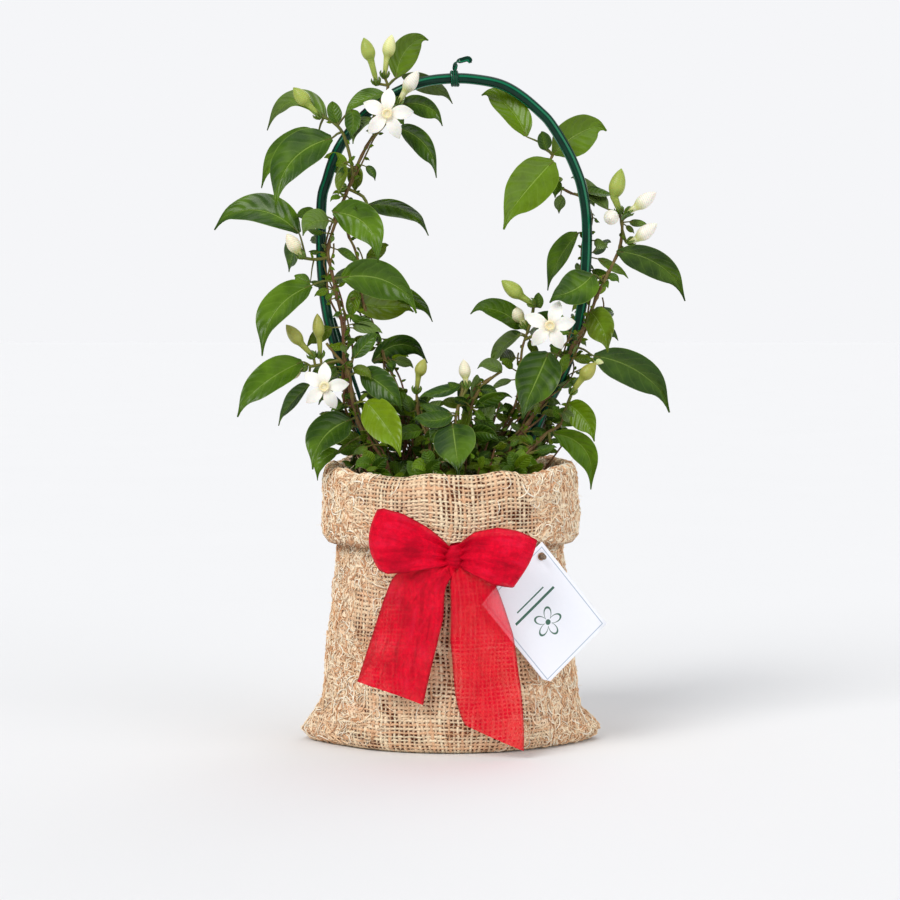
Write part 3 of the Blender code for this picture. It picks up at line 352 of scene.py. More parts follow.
leafLook = {
    "rib": paint(152, 180, 84),
    "ribShare": 0.46,
    "ribAtFoot": 0.034,  # half width of the pale rib, as a share of the blade
    "ribTaper": 0.022,
    "veinShare": 0.07,
    "veins": 6.6,
    "veinSlant": 4.4,
    "veinCurve": 1.35,
    "veinDrift": 0.9,
    "edge": paint(150, 175, 80),
    "warm": paint(104, 140, 26),
    "roughBelow": 0.5,
    "topGloss": 0.22,
    "relief": 0.0004,
}


def makeLeaf():
    material, tree, shader = newMaterial("leafSurface", leafLook["roughBelow"], Specular_IOR_Level=0.2)
    along, around = bladeOf(tree)
    tint, topSide = tintOf(tree)
    across = abs(around - 0.5)  # 0 at the rib, 0.5 at the margin
    ribWidth = leafLook["ribAtFoot"] - along * leafLook["ribTaper"]
    rib = 1.0 - ease(across, ribWidth * 0.35, ribWidth)
    drift = mottled(tree, tint, 70.0, 0.1, 1.0)[1]
    slant = along * leafLook["veins"] - across ** leafLook["veinCurve"] * leafLook["veinSlant"]
    ridge = wave("COSINE", slant + drift * leafLook["veinDrift"])
    vein = ease(ridge, 0.84, 1.0) * ease(across, 0.46, 0.36)
    colour, grain = mottled(tree, tint, 130.0, 0.4, 5.0)
    patch = mottled(tree, tint, 38.0, 0.2, 2.0)[1]
    for share, shade in ((ease(patch, 0.47, 0.68, toHigh=0.5), leafLook["warm"]),
                         (ease(across, 0.3, 0.02) * 0.22, leafLook["warm"]),
                         (vein * leafLook["veinShare"], leafLook["rib"]),
                         (rib * leafLook["ribShare"], leafLook["rib"]),
                         (ease(across, 0.478, 0.499) * 0.35, leafLook["edge"])):
        colour = blendColour(share, colour, shade)
    rough = leafLook["roughBelow"] - topSide * leafLook["topGloss"]
    feed(shader.inputs["Roughness"], rough + (grain - 0.5) * 0.16)
    dress(shader, colour, grain * 0.5 - ridge * 0.27 - rib * 0.9, leafLook["relief"], 0.95)
    return material


def makeStem():
    material, tree, shader = newMaterial("stemSkin", 0.6)
    along, around = bladeOf(tree)
    colour, cloud = mottled(tree, tintOf(tree)[0], 420.0, 0.38, 5.0)
    grain = addNoise(joinXYZ(along * 2.0, around * 14.0), 1.0, 3.0)
    colour = blendColour(ease(grain, 0.35, 0.75, toHigh=0.45), colour, paint(70, 48, 30))
    dress(shader, colour, grain + cloud, relief=0.0004, strength=0.7)
    return material


def makeBudSkin():
    material, tree, shader = newMaterial("budSkin", 0.42, Subsurface_Weight=0.12, Subsurface_Scale=0.003)
    along, around = bladeOf(tree)
    colour, cloud = mottled(tree, tintOf(tree)[0], 260.0, 0.1)
    seam = ease(wave("COSINE", around * 5.0 + along * 0.8), 0.8, 1.0)  # five furled petals
    colour = blendColour(seam * 0.3, colour, paint(150, 160, 80))
    dress(shader, colour, cloud - seam * 0.8, relief=0.00025, strength=0.6)
    return material


def makePetal():
    material, tree, shader = newMaterial("petalSkin", 0.5, Subsurface_Weight=0.15, Subsurface_Scale=0.003)
    along, around = bladeOf(tree)
    colour = mottled(tree, tintOf(tree)[0], 300.0, 0.05)[0]
    groove = addNoise(joinXYZ(along, around * 11.0), 1.0, 2.0)
    dress(shader, colour, groove, relief=0.0005, strength=0.6)
    return material


hoopLook = {
    "colour": paint(0, 50, 34),
    "dark": paint(0, 18, 12),
    # colour of the painted highlight bands
    "light": paint(20, 124, 84),
    "roughness": 0.2,
    "scuffs": 0.03,
    "highlightBands": 0.72,  # strength of the painted highlight bands drawn along the tube
    "highlightBandCount": 4,
}
potLook = {"colour": paint(84, 52, 38), "dark": paint(50, 30, 22), "roughness": 0.5, "scuffs": 0.25}


def makePlastic(name, look):
    material, tree, shader = newMaterial(name, look["roughness"], Specular_IOR_Level=0.24)
    colour, cloud = mottled(tree, look["colour"], 90.0, 0.12)
    scuff = mottled(tree, look["colour"], 900.0, 0.2)[1]
    colour = blendColour(ease(cloud, 0.42, 0.72, toHigh=0.6), colour, look["dark"])
    # painted highlights: lighter bands drawn along the tube, standing in for its gloss
    if "highlightBands" in look:
        highlightBand = wave("SINE", bladeOf(tree)[1] * look["highlightBandCount"])
        colour = blendColour(ease(highlightBand, 0.35, 1.0, toHigh=look["highlightBands"]), colour, look["light"])
    feed(shader.inputs["Roughness"], (scuff - 0.5) * 0.14 + look["roughness"])
    dress(shader, colour, scuff, relief=0.0001, strength=look["scuffs"])
    return material


def makeSoil():
    material, tree, shader = newMaterial("pottingSoil", 0.97)
    crumbs = addNode(tree, "ShaderNodeTexVoronoi", {"Vector": placeOf(tree), "Scale": 260.0}, "Distance")
    colour, cloud = mottled(tree, paint(62, 44, 30), 330.0, 0.6, 6.0)
    colour = blendColour(ease(crumbs, 0.2, 0.6), colour, paint(26, 18, 13))
    dress(shader, colour, cloud - crumbs, relief=0.003, strength=0.9)
    return material


ribbonLook = {
    "red": paint(230, 0, 42),
    # painted shade in folds and patches, also the darker gaps of the weave
    "deep": paint(144, 0, 26),
    # painted sheen on folds and patches
    "pale": paint(248, 40, 80),
    # painted glow: brighter red where the cloth is sheer
    "glow": paint(255, 6, 44),
    "selvedge": paint(140, 0, 18),
    "mesh": 1.9,  # threads to a millimetre
    "sheer": 0.52,  # how clear the sheerest cloth gets
    "creaseHeight": 11.0,  # against a thread's height of 1
}


def makeRibbon():
    material, tree, shader = newMaterial("organza", 0.5, Specular_IOR_Level=0.08)
    deep, pale = ribbonLook["deep"], ribbonLook["pale"]
    cloth = uvOf(tree, "cloth")  # millimetres along and across
    along, across, _ = splitXYZ(cloth)
    yarn = useGroup(tree, weave, {"Vector": vectorMath("SCALE", cloth, ribbonLook["mesh"]), "Gap": 0.5,
                                  "Wander": 0.05, "Unevenness": 0.3})
    tint, edge = tintOf(tree)  # red holds the sheerness, and edge is 1 on the selvedge
    sheerness = addNode(tree, "ShaderNodeSeparateColor", {0: tint})
    colour, cloud = mottled(tree, ribbonLook["red"], 60.0, 0.12, 9.0)
    colour = mottled(tree, colour, 380.0, 0.55, 6.0)[0]
    crease = addNoise(joinXYZ(along * 0.05, across * 0.2), 1.0, 5.0, Distortion=0.6)
    # cloud patches: the cloth's uneven look, partly painted shade and sheen; creases: painted shade and
    # sheen; weave gaps darker; sheer cloth gets a painted glow
    for share, shade in ((ease(cloud, 0.3, 0.56, 0.45, 0.0), deep),
                         (ease(cloud, 0.52, 0.72, toHigh=0.3), pale),
                         (ease(crease, 0.5, 0.68, toHigh=0.45), deep),
                         (ease(crease, 0.32, 0.46, 0.2, 0.0), pale),
                         (yarn["Hole"] * 0.3, deep),
                         (calc("MULTIPLY", sheerness, 1.6, clamp=True), ribbonLook["glow"]),
                         (edge * 0.75, ribbonLook["selvedge"])):
        colour = blendColour(share, colour, shade)
    cover = 1.0 - yarn["Hole"] * 0.08 - ease(cloud, 0.35, 0.75) * 0.05 - sheerness * ribbonLook["sheer"]
    feed(shader.inputs["Alpha"], calc("MAXIMUM", cover, edge, clamp=True))
    dress(shader, colour, crease * ribbonLook["creaseHeight"] + yarn["Height"], relief=0.0001, strength=0.6)
    return material


cardLook = {
    "paper": paint(243, 245, 252),
    "line": paint(120, 150, 175),
    "ink": paint(0, 88, 60),
    "lineIn": 2.2,  # mm from the card's edge
    "lineWidth": 0.22,
    "flowerAt": (38.0, 27.5),  # mm along the long side, then across
    "flowerReach": 8.6,
    "flowerLine": 0.45,
    "heartRadius": 1.5,
    "softness": 0.35,  # mm over which a printed edge fades
    "rules": ((25.0, 0.8, 16.0), (20.4, 0.45, 11.0)),  # place along the long side, half width, half length
}


def makeCard(length, width):
    material, tree, shader = newMaterial("cardStock", 0.55, Coat_Weight=0.1, Coat_Roughness=0.3)
    x, y, _ = splitXYZ(uvOf(tree, "sheetMm"))
    printed = tintOf(tree)[1]  # 1 on the front
    fromEdge = calc("MINIMUM", calc("MINIMUM", x, length - x), calc("MINIMUM", y, width - y))
    lineWidth = cardLook["lineWidth"]
    border = 1.0 - ease(abs(fromEdge - cardLook["lineIn"]), lineWidth, lineWidth * 1.8)
    # a plain five-petal flower: its reach swings five times round
    dx, dy = (place - middle for place, middle in zip((x, y), cardLook["flowerAt"]))
    reach = calc("SQRT", dx * dx + dy * dy)
    swing = abs(calc("COSINE", calc("ARCTAN2", dy, dx) * 2.5))
    petals = abs(reach - (swing * 0.72 + 0.28) * cardLook["flowerReach"])
    ink = 1.0 - ease(petals, cardLook["flowerLine"], cardLook["flowerLine"] + cardLook["softness"])
    heart = 1.0 - ease(reach, cardLook["heartRadius"], cardLook["heartRadius"] + 0.3)
    ink = calc("MAXIMUM", ink, heart)
    for place, halfWidth, halfLength in cardLook["rules"]:
        rule = calc("LESS_THAN", abs(x - place), halfWidth) * calc("LESS_THAN", abs(dy), halfLength)
        ink = calc("MAXIMUM", ink, rule)
    colour, cloud = mottled(tree, cardLook["paper"], 500.0, 0.02)
    colour = blendColour(border * printed * 0.6, colour, cardLook["line"])
    colour = blendColour(ink * printed * 0.96, colour, cardLook["ink"])
    dress(shader, colour, cloud, relief=0.0001, strength=0.2)
    return material


def makeBrass():
    material, tree, shader = newMaterial("agedBrass", 0.4, Metallic=0.85)
    colour, cloud = mottled(tree, paint(150, 118, 92), 500.0, 0.4)
    feed(shader.inputs["Base Color"], colour)
    feed(shader.inputs["Roughness"], ease(cloud, 0.3, 0.7, 0.3, 0.55))
    return material


def makeTwineSkin():
    material, tree, shader = newMaterial("twineSkin", 0.9)
    along, around = bladeOf(tree)
    twist = calc("SINE", along * 6.0 + around * (4 * math.pi))
    colour = mottled(tree, paint(150, 132, 110), 800.0, 0.35)[0]
    colour = blendColour(ease(twist, -0.2, 1.0, 0.5, 0.0), colour, paint(80, 66, 52))
    dress(shader, colour, twist, relief=0.0002, strength=0.8)
    return material


# mesh helpers

plain = (1, 1, 1, 1)


def within(value, low=0.0, high=1.0):
    return min(high, max(low, value))


def shares(count):  # even steps from 0 to 1
    return [i / (count - 1) for i in range(count)]


def sweep(count):  # even steps from -1 to 1
    return [2 * k / (count - 1) - 1 for k in range(count)]


def noiseAt(*place):
    return noise.noise(Vector(place))


def seen(x, z, depth):  # an elevation point at a depth, kept in its place in the front view
    scale = (studio["viewDistance"] + depth) / studio["viewDistance"]
    return Vector((x * scale, depth, studio["viewHeight"] + (z - studio["viewHeight"]) * scale))


def spans(points):  # the two ends of each span, between the points before and after it
    last = len(points) - 1
    return [(points[max(i - 1, 0)], points[i], points[i + 1], points[min(i + 2, last)]) for i in range(last)]


def spline(p, q, r, s, t):  # smooth way from q to r
    return 0.5 * (2 * q + (r - p) * t + (2 * p - 5 * q + 4 * r - s) * t * t
                  + (3 * q - p - 3 * r + s) * t ** 3)


def curveThrough(points, step):  # samples a smooth curve through the points
    path = [points[0].copy()]
    for span in spans(points):
        count = max(1, round((span[2] - span[1]).length / step))
        path += [spline(*span, k / count) for k in range(1, count + 1)]
    return path


def directions(path):
    last = len(path) - 1
    return [(path[min(i + 1, last)] - path[max(i - 1, 0)]).normalized() for i in range(last + 1)]


def circle(centre, first, second, radius, count, flat=1.0):
    turns = [2 * math.pi * k / count for k in range(count)]
    return [centre + (first * math.cos(turn) + second * math.sin(turn) * flat) * radius for turn in turns]


def closedRow(upper, lower, t):  # one row of a thin blade, and where its points lie on the blade
    cross = shares(len(upper))
    return upper + lower[::-1], [(t, v) for v in cross + cross[::-1]]


# collects rows of points into one mesh; each point has a UV and a tint
class Mould:
    def __init__(self):
        self.points, self.faces, self.uvs, self.tints, self.finish = [], [], [], [], []

    def add(self, rows, uvs, tints, closed=True, capped=True, finish=0):
        rows = np.asarray(rows, dtype=float)
        m, n = rows.shape[:2]
        start = len(self.points)
        self.points += rows.reshape(-1, 3).tolist()
        for kept, values, width in ((self.uvs, uvs, 2), (self.tints, tints, 4)):
            values = np.broadcast_to(np.asarray(values, dtype=float), (m, n, width))
            kept += values.reshape(-1, width).tolist()
        across = n if closed else n - 1
        for i in range(m - 1):
            low = start + i * n
            for k in range(across):
                after = (k + 1) % n
                self.faces.append((low + k, low + after, low + n + after, low + n + k))
        if closed and capped:
            self.faces.append(tuple(start + k for k in reversed(range(n))))
            self.faces.append(tuple(start + (m - 1) * n + k for k in range(n)))
        self.finish += [finish] * (len(self.faces) - len(self.finish))

    def tube(self, path, radii, tint=plain, sides=8, finish=0, flat=1.0):
        radii = [radii] * len(path) if isinstance(radii, float) else radii
        rows, uvs = [], []
        side, run = None, 0.0
        for i, (centre, along, radius) in enumerate(zip(path, directions(path), radii)):
            side = along.orthogonal() if side is None else side
            side = (side - along * side.dot(along)).normalized()
            run += (centre - path[i - 1]).length if i else 0.0
            rows.append(circle(centre, side, along.cross(side), radius, sides, flat))
            uvs.append([(run, k / sides) for k in range(sides)])
        self.add(rows, uvs, [[colour] for colour in tint] if isinstance(tint, list) else tint, finish=finish)

    def piece(self, name, materials, replaced=(), uvName="blade", sharp=50, orient=True):
        mesh = bpy.data.meshes.new(name)
        mesh.from_pydata([(x * mm, y * mm, z * mm) for x, y, z in self.points], [], self.faces)
        for material in materials:
            mesh.materials.append(material)
        mesh.polygons.foreach_set("material_index", self.finish)
        corner = np.empty(len(mesh.loops), dtype=np.int32)
        mesh.loops.foreach_get("vertex_index", corner)
        layer = mesh.uv_layers.new(name=uvName)
        layer.data.foreach_set("uv", np.array(self.uvs)[corner].ravel())
        paintLayer = mesh.color_attributes.new(name="tint", type="FLOAT_COLOR", domain="POINT")
        paintLayer.data.foreach_set("color", np.array(self.tints).ravel())
        if orient:
            shape = bmesh.new()
            shape.from_mesh(mesh)
            bmesh.ops.recalc_face_normals(shape, faces=shape.faces)
            shape.to_mesh(mesh)
            shape.free()
        mesh.shade_smooth()
        if sharp:
            mesh.set_sharp_from_angle(angle=math.radians(sharp))
        thing = addObject(name, mesh)
        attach(thing, "root")
        if replaced:
            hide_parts(*replaced)
        return thing


def nodeName(name):  # spray_left_top from sprayLeftTop
    return "".join("_" + letter.lower() if letter.isupper() else letter for letter in name)


# sack

sack = {
    "columns": 344,  # two to a woven cell
    "halfCell": 1.25,
    "coarseStep": 5.0,
    "lobes": 3,
    "lobeDepth": 0.006,
    "earSharpness": 14,
    "rimTilt": 3.2,
    "relief": 0.5,
    "lumps": 1.3,
    "woolRelief": 1.15,
    "drift": 3.4 / 75,  # radians
    "rowDrift": 2.2,
    "woolFrom": 44.0,  # mm out from the middle
    "woolOver": 18.0,
    # half width, half depth, height, ear, share of the rim's tilt, then 1 for fine rows, 0 for coarse
    "rings": (
        (66.0, 46.0, 0.0, 6.0, 0, 1), (74.0, 52.0, 1.5, 10.0, 0, 1), (77.5, 55.0, 7.0, 12.0, 0, 1),
        (78.5, 58.0, 15.0, 5.0, 0, 1), (77.5, 59.5, 24.0, 0.0, 0, 1), (74.5, 61.0, 48.0, 0.0, 0, 1),
        (71.0, 64.0, 85.0, 0.0, 0, 1), (68.0, 65.5, 108.0, 0.0, 0, 1), (67.2, 65.8, 122.0, 0.0, 0, 0),
        (67.0, 66.0, 150.0, 0.0, 1, 0), (68.6, 67.0, 158.0, 0.0, 1, 0), (72.6, 69.6, 158.0, 0.0, 1, 0),
        (73.3, 70.2, 123.5, 0.0, 0, 0), (75.4, 72.4, 121.8, 0.0, 0, 1), (76.6, 73.5, 126.0, 0.0, 0, 1),
        (76.4, 73.2, 152.0, 0.0, 1, 1), (75.0, 72.0, 162.0, 0.0, 1, 1), (72.0, 69.4, 166.0, 0.0, 1, 1),
        (68.6, 66.4, 166.0, 0.0, 1, 1), (65.8, 63.8, 162.0, 0.0, 1, 1), (64.2, 63.2, 150.0, 0.0, 1, 1),
        (64.5, 63.1, 130.0, 0.0, 0, 0), (64.8, 63.0, 108.0, 0.0, 0, 0), (68.0, 60.8, 85.0, 0.0, 0, 0),
        (71.4, 58.0, 48.0, 0.0, 0, 0), (73.5, 55.0, 15.0, 0.0, 0, 0), (68.0, 50.0, 3.0, 0.0, 0, 0)),
}


def sackRows():  # rings along the cloth, each with its place along the weave and whether it is fine
    dense = []
    for (*_, fine), span in zip(sack["rings"], spans([np.array(ring[:5]) for ring in sack["rings"]])):
        dense += [(spline(*span, k / 16), bool(fine)) for k in range(16)]
    rows, run, nextAt, place = [], 0.0, 0.0, 0.0
    for (start, fine), (end, _) in zip(dense, dense[1:]):
        length = math.hypot((end[0] - start[0] + end[1] - start[1]) / 2, end[2] - start[2])
        while nextAt <= run + length:
            if fine and rows and not rows[-1][2]:
                place = math.ceil(place)  # fine rows start on a yarn
            rows.append((start + (end - start) * ((nextAt - run) / max(length, 1e-9)), place, fine))
            step = sack["halfCell"] if fine else sack["coarseStep"]
            place += step / (2 * sack["halfCell"])
            nextAt += step
        run += length
    return rows


def tangled(x, y, z):  # 1 where the yarns are loose and woolly, 0 where the weave is clean
    broad, small = noiseAt(x * 0.04, y * 0.04, z * 0.045), noiseAt(x * 0.17, y * 0.17, z * 0.2)
    side = min(abs(x), 60) + 24 * broad + 15 * small + (6 if z > 120 or z < 22 else 0)
    return within((side - sack["woolFrom"]) / sack["woolOver"])


def yarnRelief(k, place):  # how far a point of the weave stands out: in a gap, on one yarn, on a crossing
    yarns = (k % 2 == 0) + (round(place * 2) % 2 == 0)
    return (-1.0, 0.1, 0.35 if (k // 2 + round(place)) % 2 else 0.15)[yarns]


def buildSack():
    rows, columns = sackRows(), sack["columns"]
    points = np.zeros((len(rows), columns, 3))
    for i, ((halfX, halfY, height, ear, cuff), _, fine) in enumerate(rows):
        for k in range(columns):
            angle, rise = 2 * math.pi * k / columns, 0.0
            if fine:
                angle += sack["drift"] * noiseAt(math.cos(angle) * 2.2, math.sin(angle) * 2.2, height * 0.03)
                rise = noiseAt(math.cos(angle) * 3.1, math.sin(angle) * 3.1, height * 0.02 + 5)
                rise *= sack["rowDrift"] * min(1.0, height / 30)
            lobe = 1 + sack["lobeDepth"] * math.sin(sack["lobes"] * angle + 0.7) * min(1.0, height / 20)
            reach = halfX * lobe + max(0.0, ear) * abs(math.cos(angle)) ** sack["earSharpness"]
            points[i, k] = (reach * math.cos(angle), halfY * lobe * math.sin(angle),
                            height + cuff * sack["rimTilt"] * math.sin(angle) + rise)
    byColumn = np.roll(points, -1, axis=1) - np.roll(points, 1, axis=1)
    normals = np.cross(byColumn, np.gradient(points, axis=0))
    normals /= np.linalg.norm(normals, axis=2, keepdims=True) + 1e-9
    uvs = np.zeros((len(rows), columns, 2))
    tints = np.ones((len(rows), columns, 4))
    for i, (_, place, fine) in enumerate(rows):
        for k in range(columns):
            x, y, z = points[i, k]
            uvs[i, k] = (k / 2, place)
            wool = tints[i, k, 3] = tangled(x, y, z)
            if fine:
                push = yarnRelief(k, place) * sack["relief"] * (1 - wool)
                push += wool * sack["woolRelief"] * noiseAt(x * 0.42, y * 0.42, z * 0.42)
                push += within(z / 12) * sack["lumps"] * noiseAt(x * 0.06, y * 0.06, z * 0.07 + 9)
                points[i, k] += normals[i, k] * push
            points[i, k, 2] = max(points[i, k, 2], 0.0)
    mould = Mould()
    mould.add(points, uvs, tints)
    mould.piece("sackCloth", [makeBurlap()], ["sack"], uvName="weave", sharp=0, orient=False)
    return points, normals, tints[:, :, 3], np.array([fine for _, _, fine in rows])


def onGrid(grid, row, column):  # bilinear reading between the sack's points
    i = within(int(row), 0, len(grid) - 2)
    down, right = within(row - i), column - math.floor(column)
    k = math.floor(column) % grid.shape[1]
    after = (k + 1) % grid.shape[1]
    return ((grid[i, k] * (1 - down) + grid[i + 1, k] * down) * (1 - right)
            + (grid[i, after] * (1 - down) + grid[i + 1, after] * down) * right)


fibre = {
    "count": 4500,
    "fuzz": 700,
    "hop": 1.35,  # cells between two points of a fibre
    "woolly": 0.3,  # looseness from which fibres are thick and lifted
    "lowest": 0.75,
    "colours": ((255, 238, 210), (254, 228, 194), (247, 211, 172), (226, 176, 134), (255, 245, 225)),
}


def buildFibres(points, normals, wool, fineRow):
    rng = random.Random(11)
    fineRows = [i for i, fine in enumerate(fineRow) if fine]
    colours = [paint(*shade) for shade in fibre["colours"]]
    mould = Mould()
    made = 0
    while made < fibre["count"]:
        row, column = float(rng.choice(fineRows)), rng.uniform(0, sack["columns"])
        start = int(row), int(column) % sack["columns"]
        woolly = wool[start] > fibre["woolly"]
        if rng.random() > 0.05 + 0.95 * wool[start] or points[start][2] < 1:
            continue
        heading = rng.uniform(0, 2 * math.pi)
        bend = rng.choice((-1, 1)) * rng.uniform(0.02, 0.5)
        lift = rng.uniform(0.1, 0.75 if woolly else 0.4)
        path = []
        for t in shares(rng.randint(6, 8)):
            if not fineRow[within(int(row), 0, len(fineRow) - 2)]:
                break
            base, out = onGrid(points, row, column), onGrid(normals, row, column)
            spot = Vector(base + out * (0.1 + lift * math.sin(math.pi * t)))
            spot.z = max(spot.z, fibre["lowest"])
            path.append(spot)
            row += math.sin(heading) * fibre["hop"]
            column += math.cos(heading) * fibre["hop"]
            heading += 1.4 * bend * rng.uniform(0.5, 1.5)
        if len(path) < 4:
            continue
        thick = rng.uniform(0.28, 0.66) if woolly else rng.uniform(0.2, 0.4)
        radii = [thick * (0.55 + 0.45 * math.sin(math.pi * t)) for t in shares(len(path))]
        mould.tube(path, radii, rng.choice(colours), sides=3, flat=0.7)
        made += 1
    for _ in range(fibre["fuzz"]):  # short hairs that stand out from the cloth
        row, column = float(rng.choice(fineRows)), rng.uniform(0, sack["columns"])
        base, out = Vector(onGrid(points, row, column)), Vector(onGrid(normals, row, column))
        sway = Vector((rng.uniform(-1, 1), rng.uniform(-1, 1), rng.uniform(-0.6, 0.8)))
        reach = rng.uniform(1.2, 3.2)
        tip = base + out * reach + sway * reach * 0.6
        if tip.z >= 0.3:
            middle = base + out * reach * 0.6 + sway * reach * 0.15
            mould.tube([base, middle, tip], [0.12, 0.1, 0.05], colours[0], sides=3)
    mould.piece("sackFibres", [makeFibre()], sharp=0)


# hoop, wire and tie

hoop = {
    "radius": 3.1,
    "wireRadius": 1.2,
    "feet": ((-38.0, 0.0), (30.0, 0.0)),
    "line": (
        (-40, 142), (-43.5, 154), (-47.7, 165.6), (-51.9, 180.6), (-59.1, 204.6), (-66.3, 228.6),
        (-72.9, 252.6), (-76.2, 276.6), (-77.1, 300.6), (-76.5, 324.6), (-73.5, 335.4), (-69.9, 346.8),
        (-64.5, 357.6), (-54.9, 370.2), (-42.9, 381), (-29.7, 388.8), (-14.7, 394.2), (1.5, 396),
        (15.3, 395.4), (30.3, 392.4), (42.3, 385.8), (54.3, 375.6), (60.3, 369), (69.3, 354.6),
        (75, 342.6), (78.9, 330.6), (81.6, 312.6), (81.6, 288.6), (79.5, 264.6), (74.7, 240.6),
        (66.9, 217.8), (57.3, 199.8), (48.3, 180.6), (40.3, 164), (34, 145)),
    "wireFoot": (-36.0, 12.0),
    "wire": ((-36.5, 142, 12), (-40, 158, 9), (-45, 175, 6), (-51.5, 198, 6), (-59.7, 222.6, 6),
             (-64, 236, 6), (-69.9, 253.8, 5.6)),
    "tieWraps": (0.9, 2.7, 4.5),
    "tieCentre": 395.9,
    "tieRadius": 0.95,
    "wrapLean": 0.55,
    "tieTwist": ((2.9, 0, 399.9), (3.0, 0, 402.8), (4.0, 0, 405.6), (7.4, -0.3, 406.8), (11.0, -0.8, 407.4),
                 (12.1, -1, 405.0)),
    "twistTurns": 9.0,  # radians a length, over the first half
}


def rooted(foot):  # two points of a stem or leg in the soil
    return [Vector((*foot, 104.0)), Vector((*foot, 124.0))]


def addRod(name, node, points, radius, sides, finish):
    mould = Mould()
    mould.tube(curveThrough(points, 3.0), radius, sides=sides)
    mould.piece(name, [finish], [node])


def buildHoop():
    green = makePlastic("hoopPlastic", hoopLook)
    left, right = hoop["feet"]
    line = rooted(left) + [Vector((x, 0.0, z)) for x, z in hoop["line"]] + rooted(right)[::-1]
    addRod("hoopTube", "hoop", line, hoop["radius"], 18, green)
    line = rooted(hoop["wireFoot"]) + [seen(*spot) for spot in hoop["wire"]]
    addRod("hoopWire", "hoop_wire", line, hoop["wireRadius"], 10, green)
    mould = Mould()
    ring = hoop["radius"] + hoop["tieRadius"] * 0.95
    for order, x in enumerate(hoop["tieWraps"]):
        path = []
        for k in range(41):  # a turn and a bit, each wrap leaning a little
            turn = 2 * math.pi * k / 36 + 0.8 + order
            path.append(Vector((x + hoop["wrapLean"] * math.sin(turn * 0.5 + order), ring * math.sin(turn),
                                hoop["tieCentre"] + ring * math.cos(turn))))
        mould.tube(path, hoop["tieRadius"])
    path = curveThrough([Vector(spot) for spot in hoop["tieTwist"]], 0.6)
    rows, uvs = [], []
    for t, centre, along in zip(shares(len(path)), path, directions(path)):
        spin = hoop["twistTurns"] * max(0.0, 0.55 - t)
        out = along.cross(front).normalized() * math.cos(spin) + front * math.sin(spin)
        skin = along.cross(out).normalized() * (1.15 - 0.6 * t)
        wide = out * (1.35 + 0.35 * t) * (1.0 if t < 0.93 else 0.6)
        rows.append([centre + wide * a + skin * b for a, b in ((-1, 0.5), (1, 0.5), (1, -0.5), (-1, -0.5))])
        uvs.append([(t, k / 4) for k in range(4)])
    mould.add(rows, uvs, plain)
    mould.piece("hoopTie", [green], ["hoop_tie"], sharp=40)


# foliage

foliage = {
    "fold": 0.27,
    "tipDrop": 0.1,
    "bladeThick": 0.42,
    "petiole": 0.62,
    "rootLimit": 0.96,
    "rootStagger": 0.07,
    "smallWidth": 9,  # a blade narrower than this has fewer points and no quilting
    "tinyWidth": 6,
    "smallShare": 0.7,  # how thick a small blade and its stalk are
    "thinEdge": 0.55,
    "curl": 1.3,
    "curlBack": 0.3,
    "ripple": (0.02, 0.09),  # drawn for each leaf, like roll and gain
    "roll": (-0.04, 0.1),
    "gain": (0.84, 1.14),
    "stations": 28,
    "smallStations": 11,
    "across": 11,
    "outline": ((0.0, 0.1), (0.05, 0.42), (0.13, 0.74), (0.25, 0.94), (0.4, 1.01), (0.54, 0.97), (0.66, 0.85),
                (0.76, 0.65), (0.84, 0.41), (0.9, 0.22), (0.95, 0.1), (1.0, 0.03)),
    "softening": (-0.036, -0.018, 0.0, 0.018, 0.036),
    "budOutline": ((0.0, 0.5), (0.08, 0.68), (0.2, 0.92), (0.34, 1.03), (0.48, 1.0), (0.64, 0.87),
                   (0.8, 0.61), (0.92, 0.33), (1.0, 0.04)),
    # along the stalk and out from it
    "sepal": ((-1.2, 0.5), (0.6, 1.5), (2.2, 2.0), (3.8, 1.8)),
    "sepalRadii": (0.7, 1.15, 0.95, 0.15),
    "quilt": 0.035,
    "ribDip": 0.25,
    "slimStem": 0.7,
    "bloomRoom": 23.0,
    "bractsFrom": 160,  # heights
    "sideLeavesFrom": 150,
    "vinesFrom": 128,
    "tallFrom": 190,
    # distance from the stem, and how far up it each climbing shoot goes
    "vines": ((2.2, (0.8, 0.97)), (3.6, (0.6, 0.95)), (5.0, (0.4, 0.7)), (6.5, 0.75), (8.0, 0.6)),
    "vineCount": {"sprayLeftTop": 3, "sprayLeftInner": 3, "sprayRightOuter": 5, "sprayRightTop": 3},
    "lowGrowth": {"coverLeft": -34.0, "coverMiddle": 0.0, "coverRight": 32.0},
}

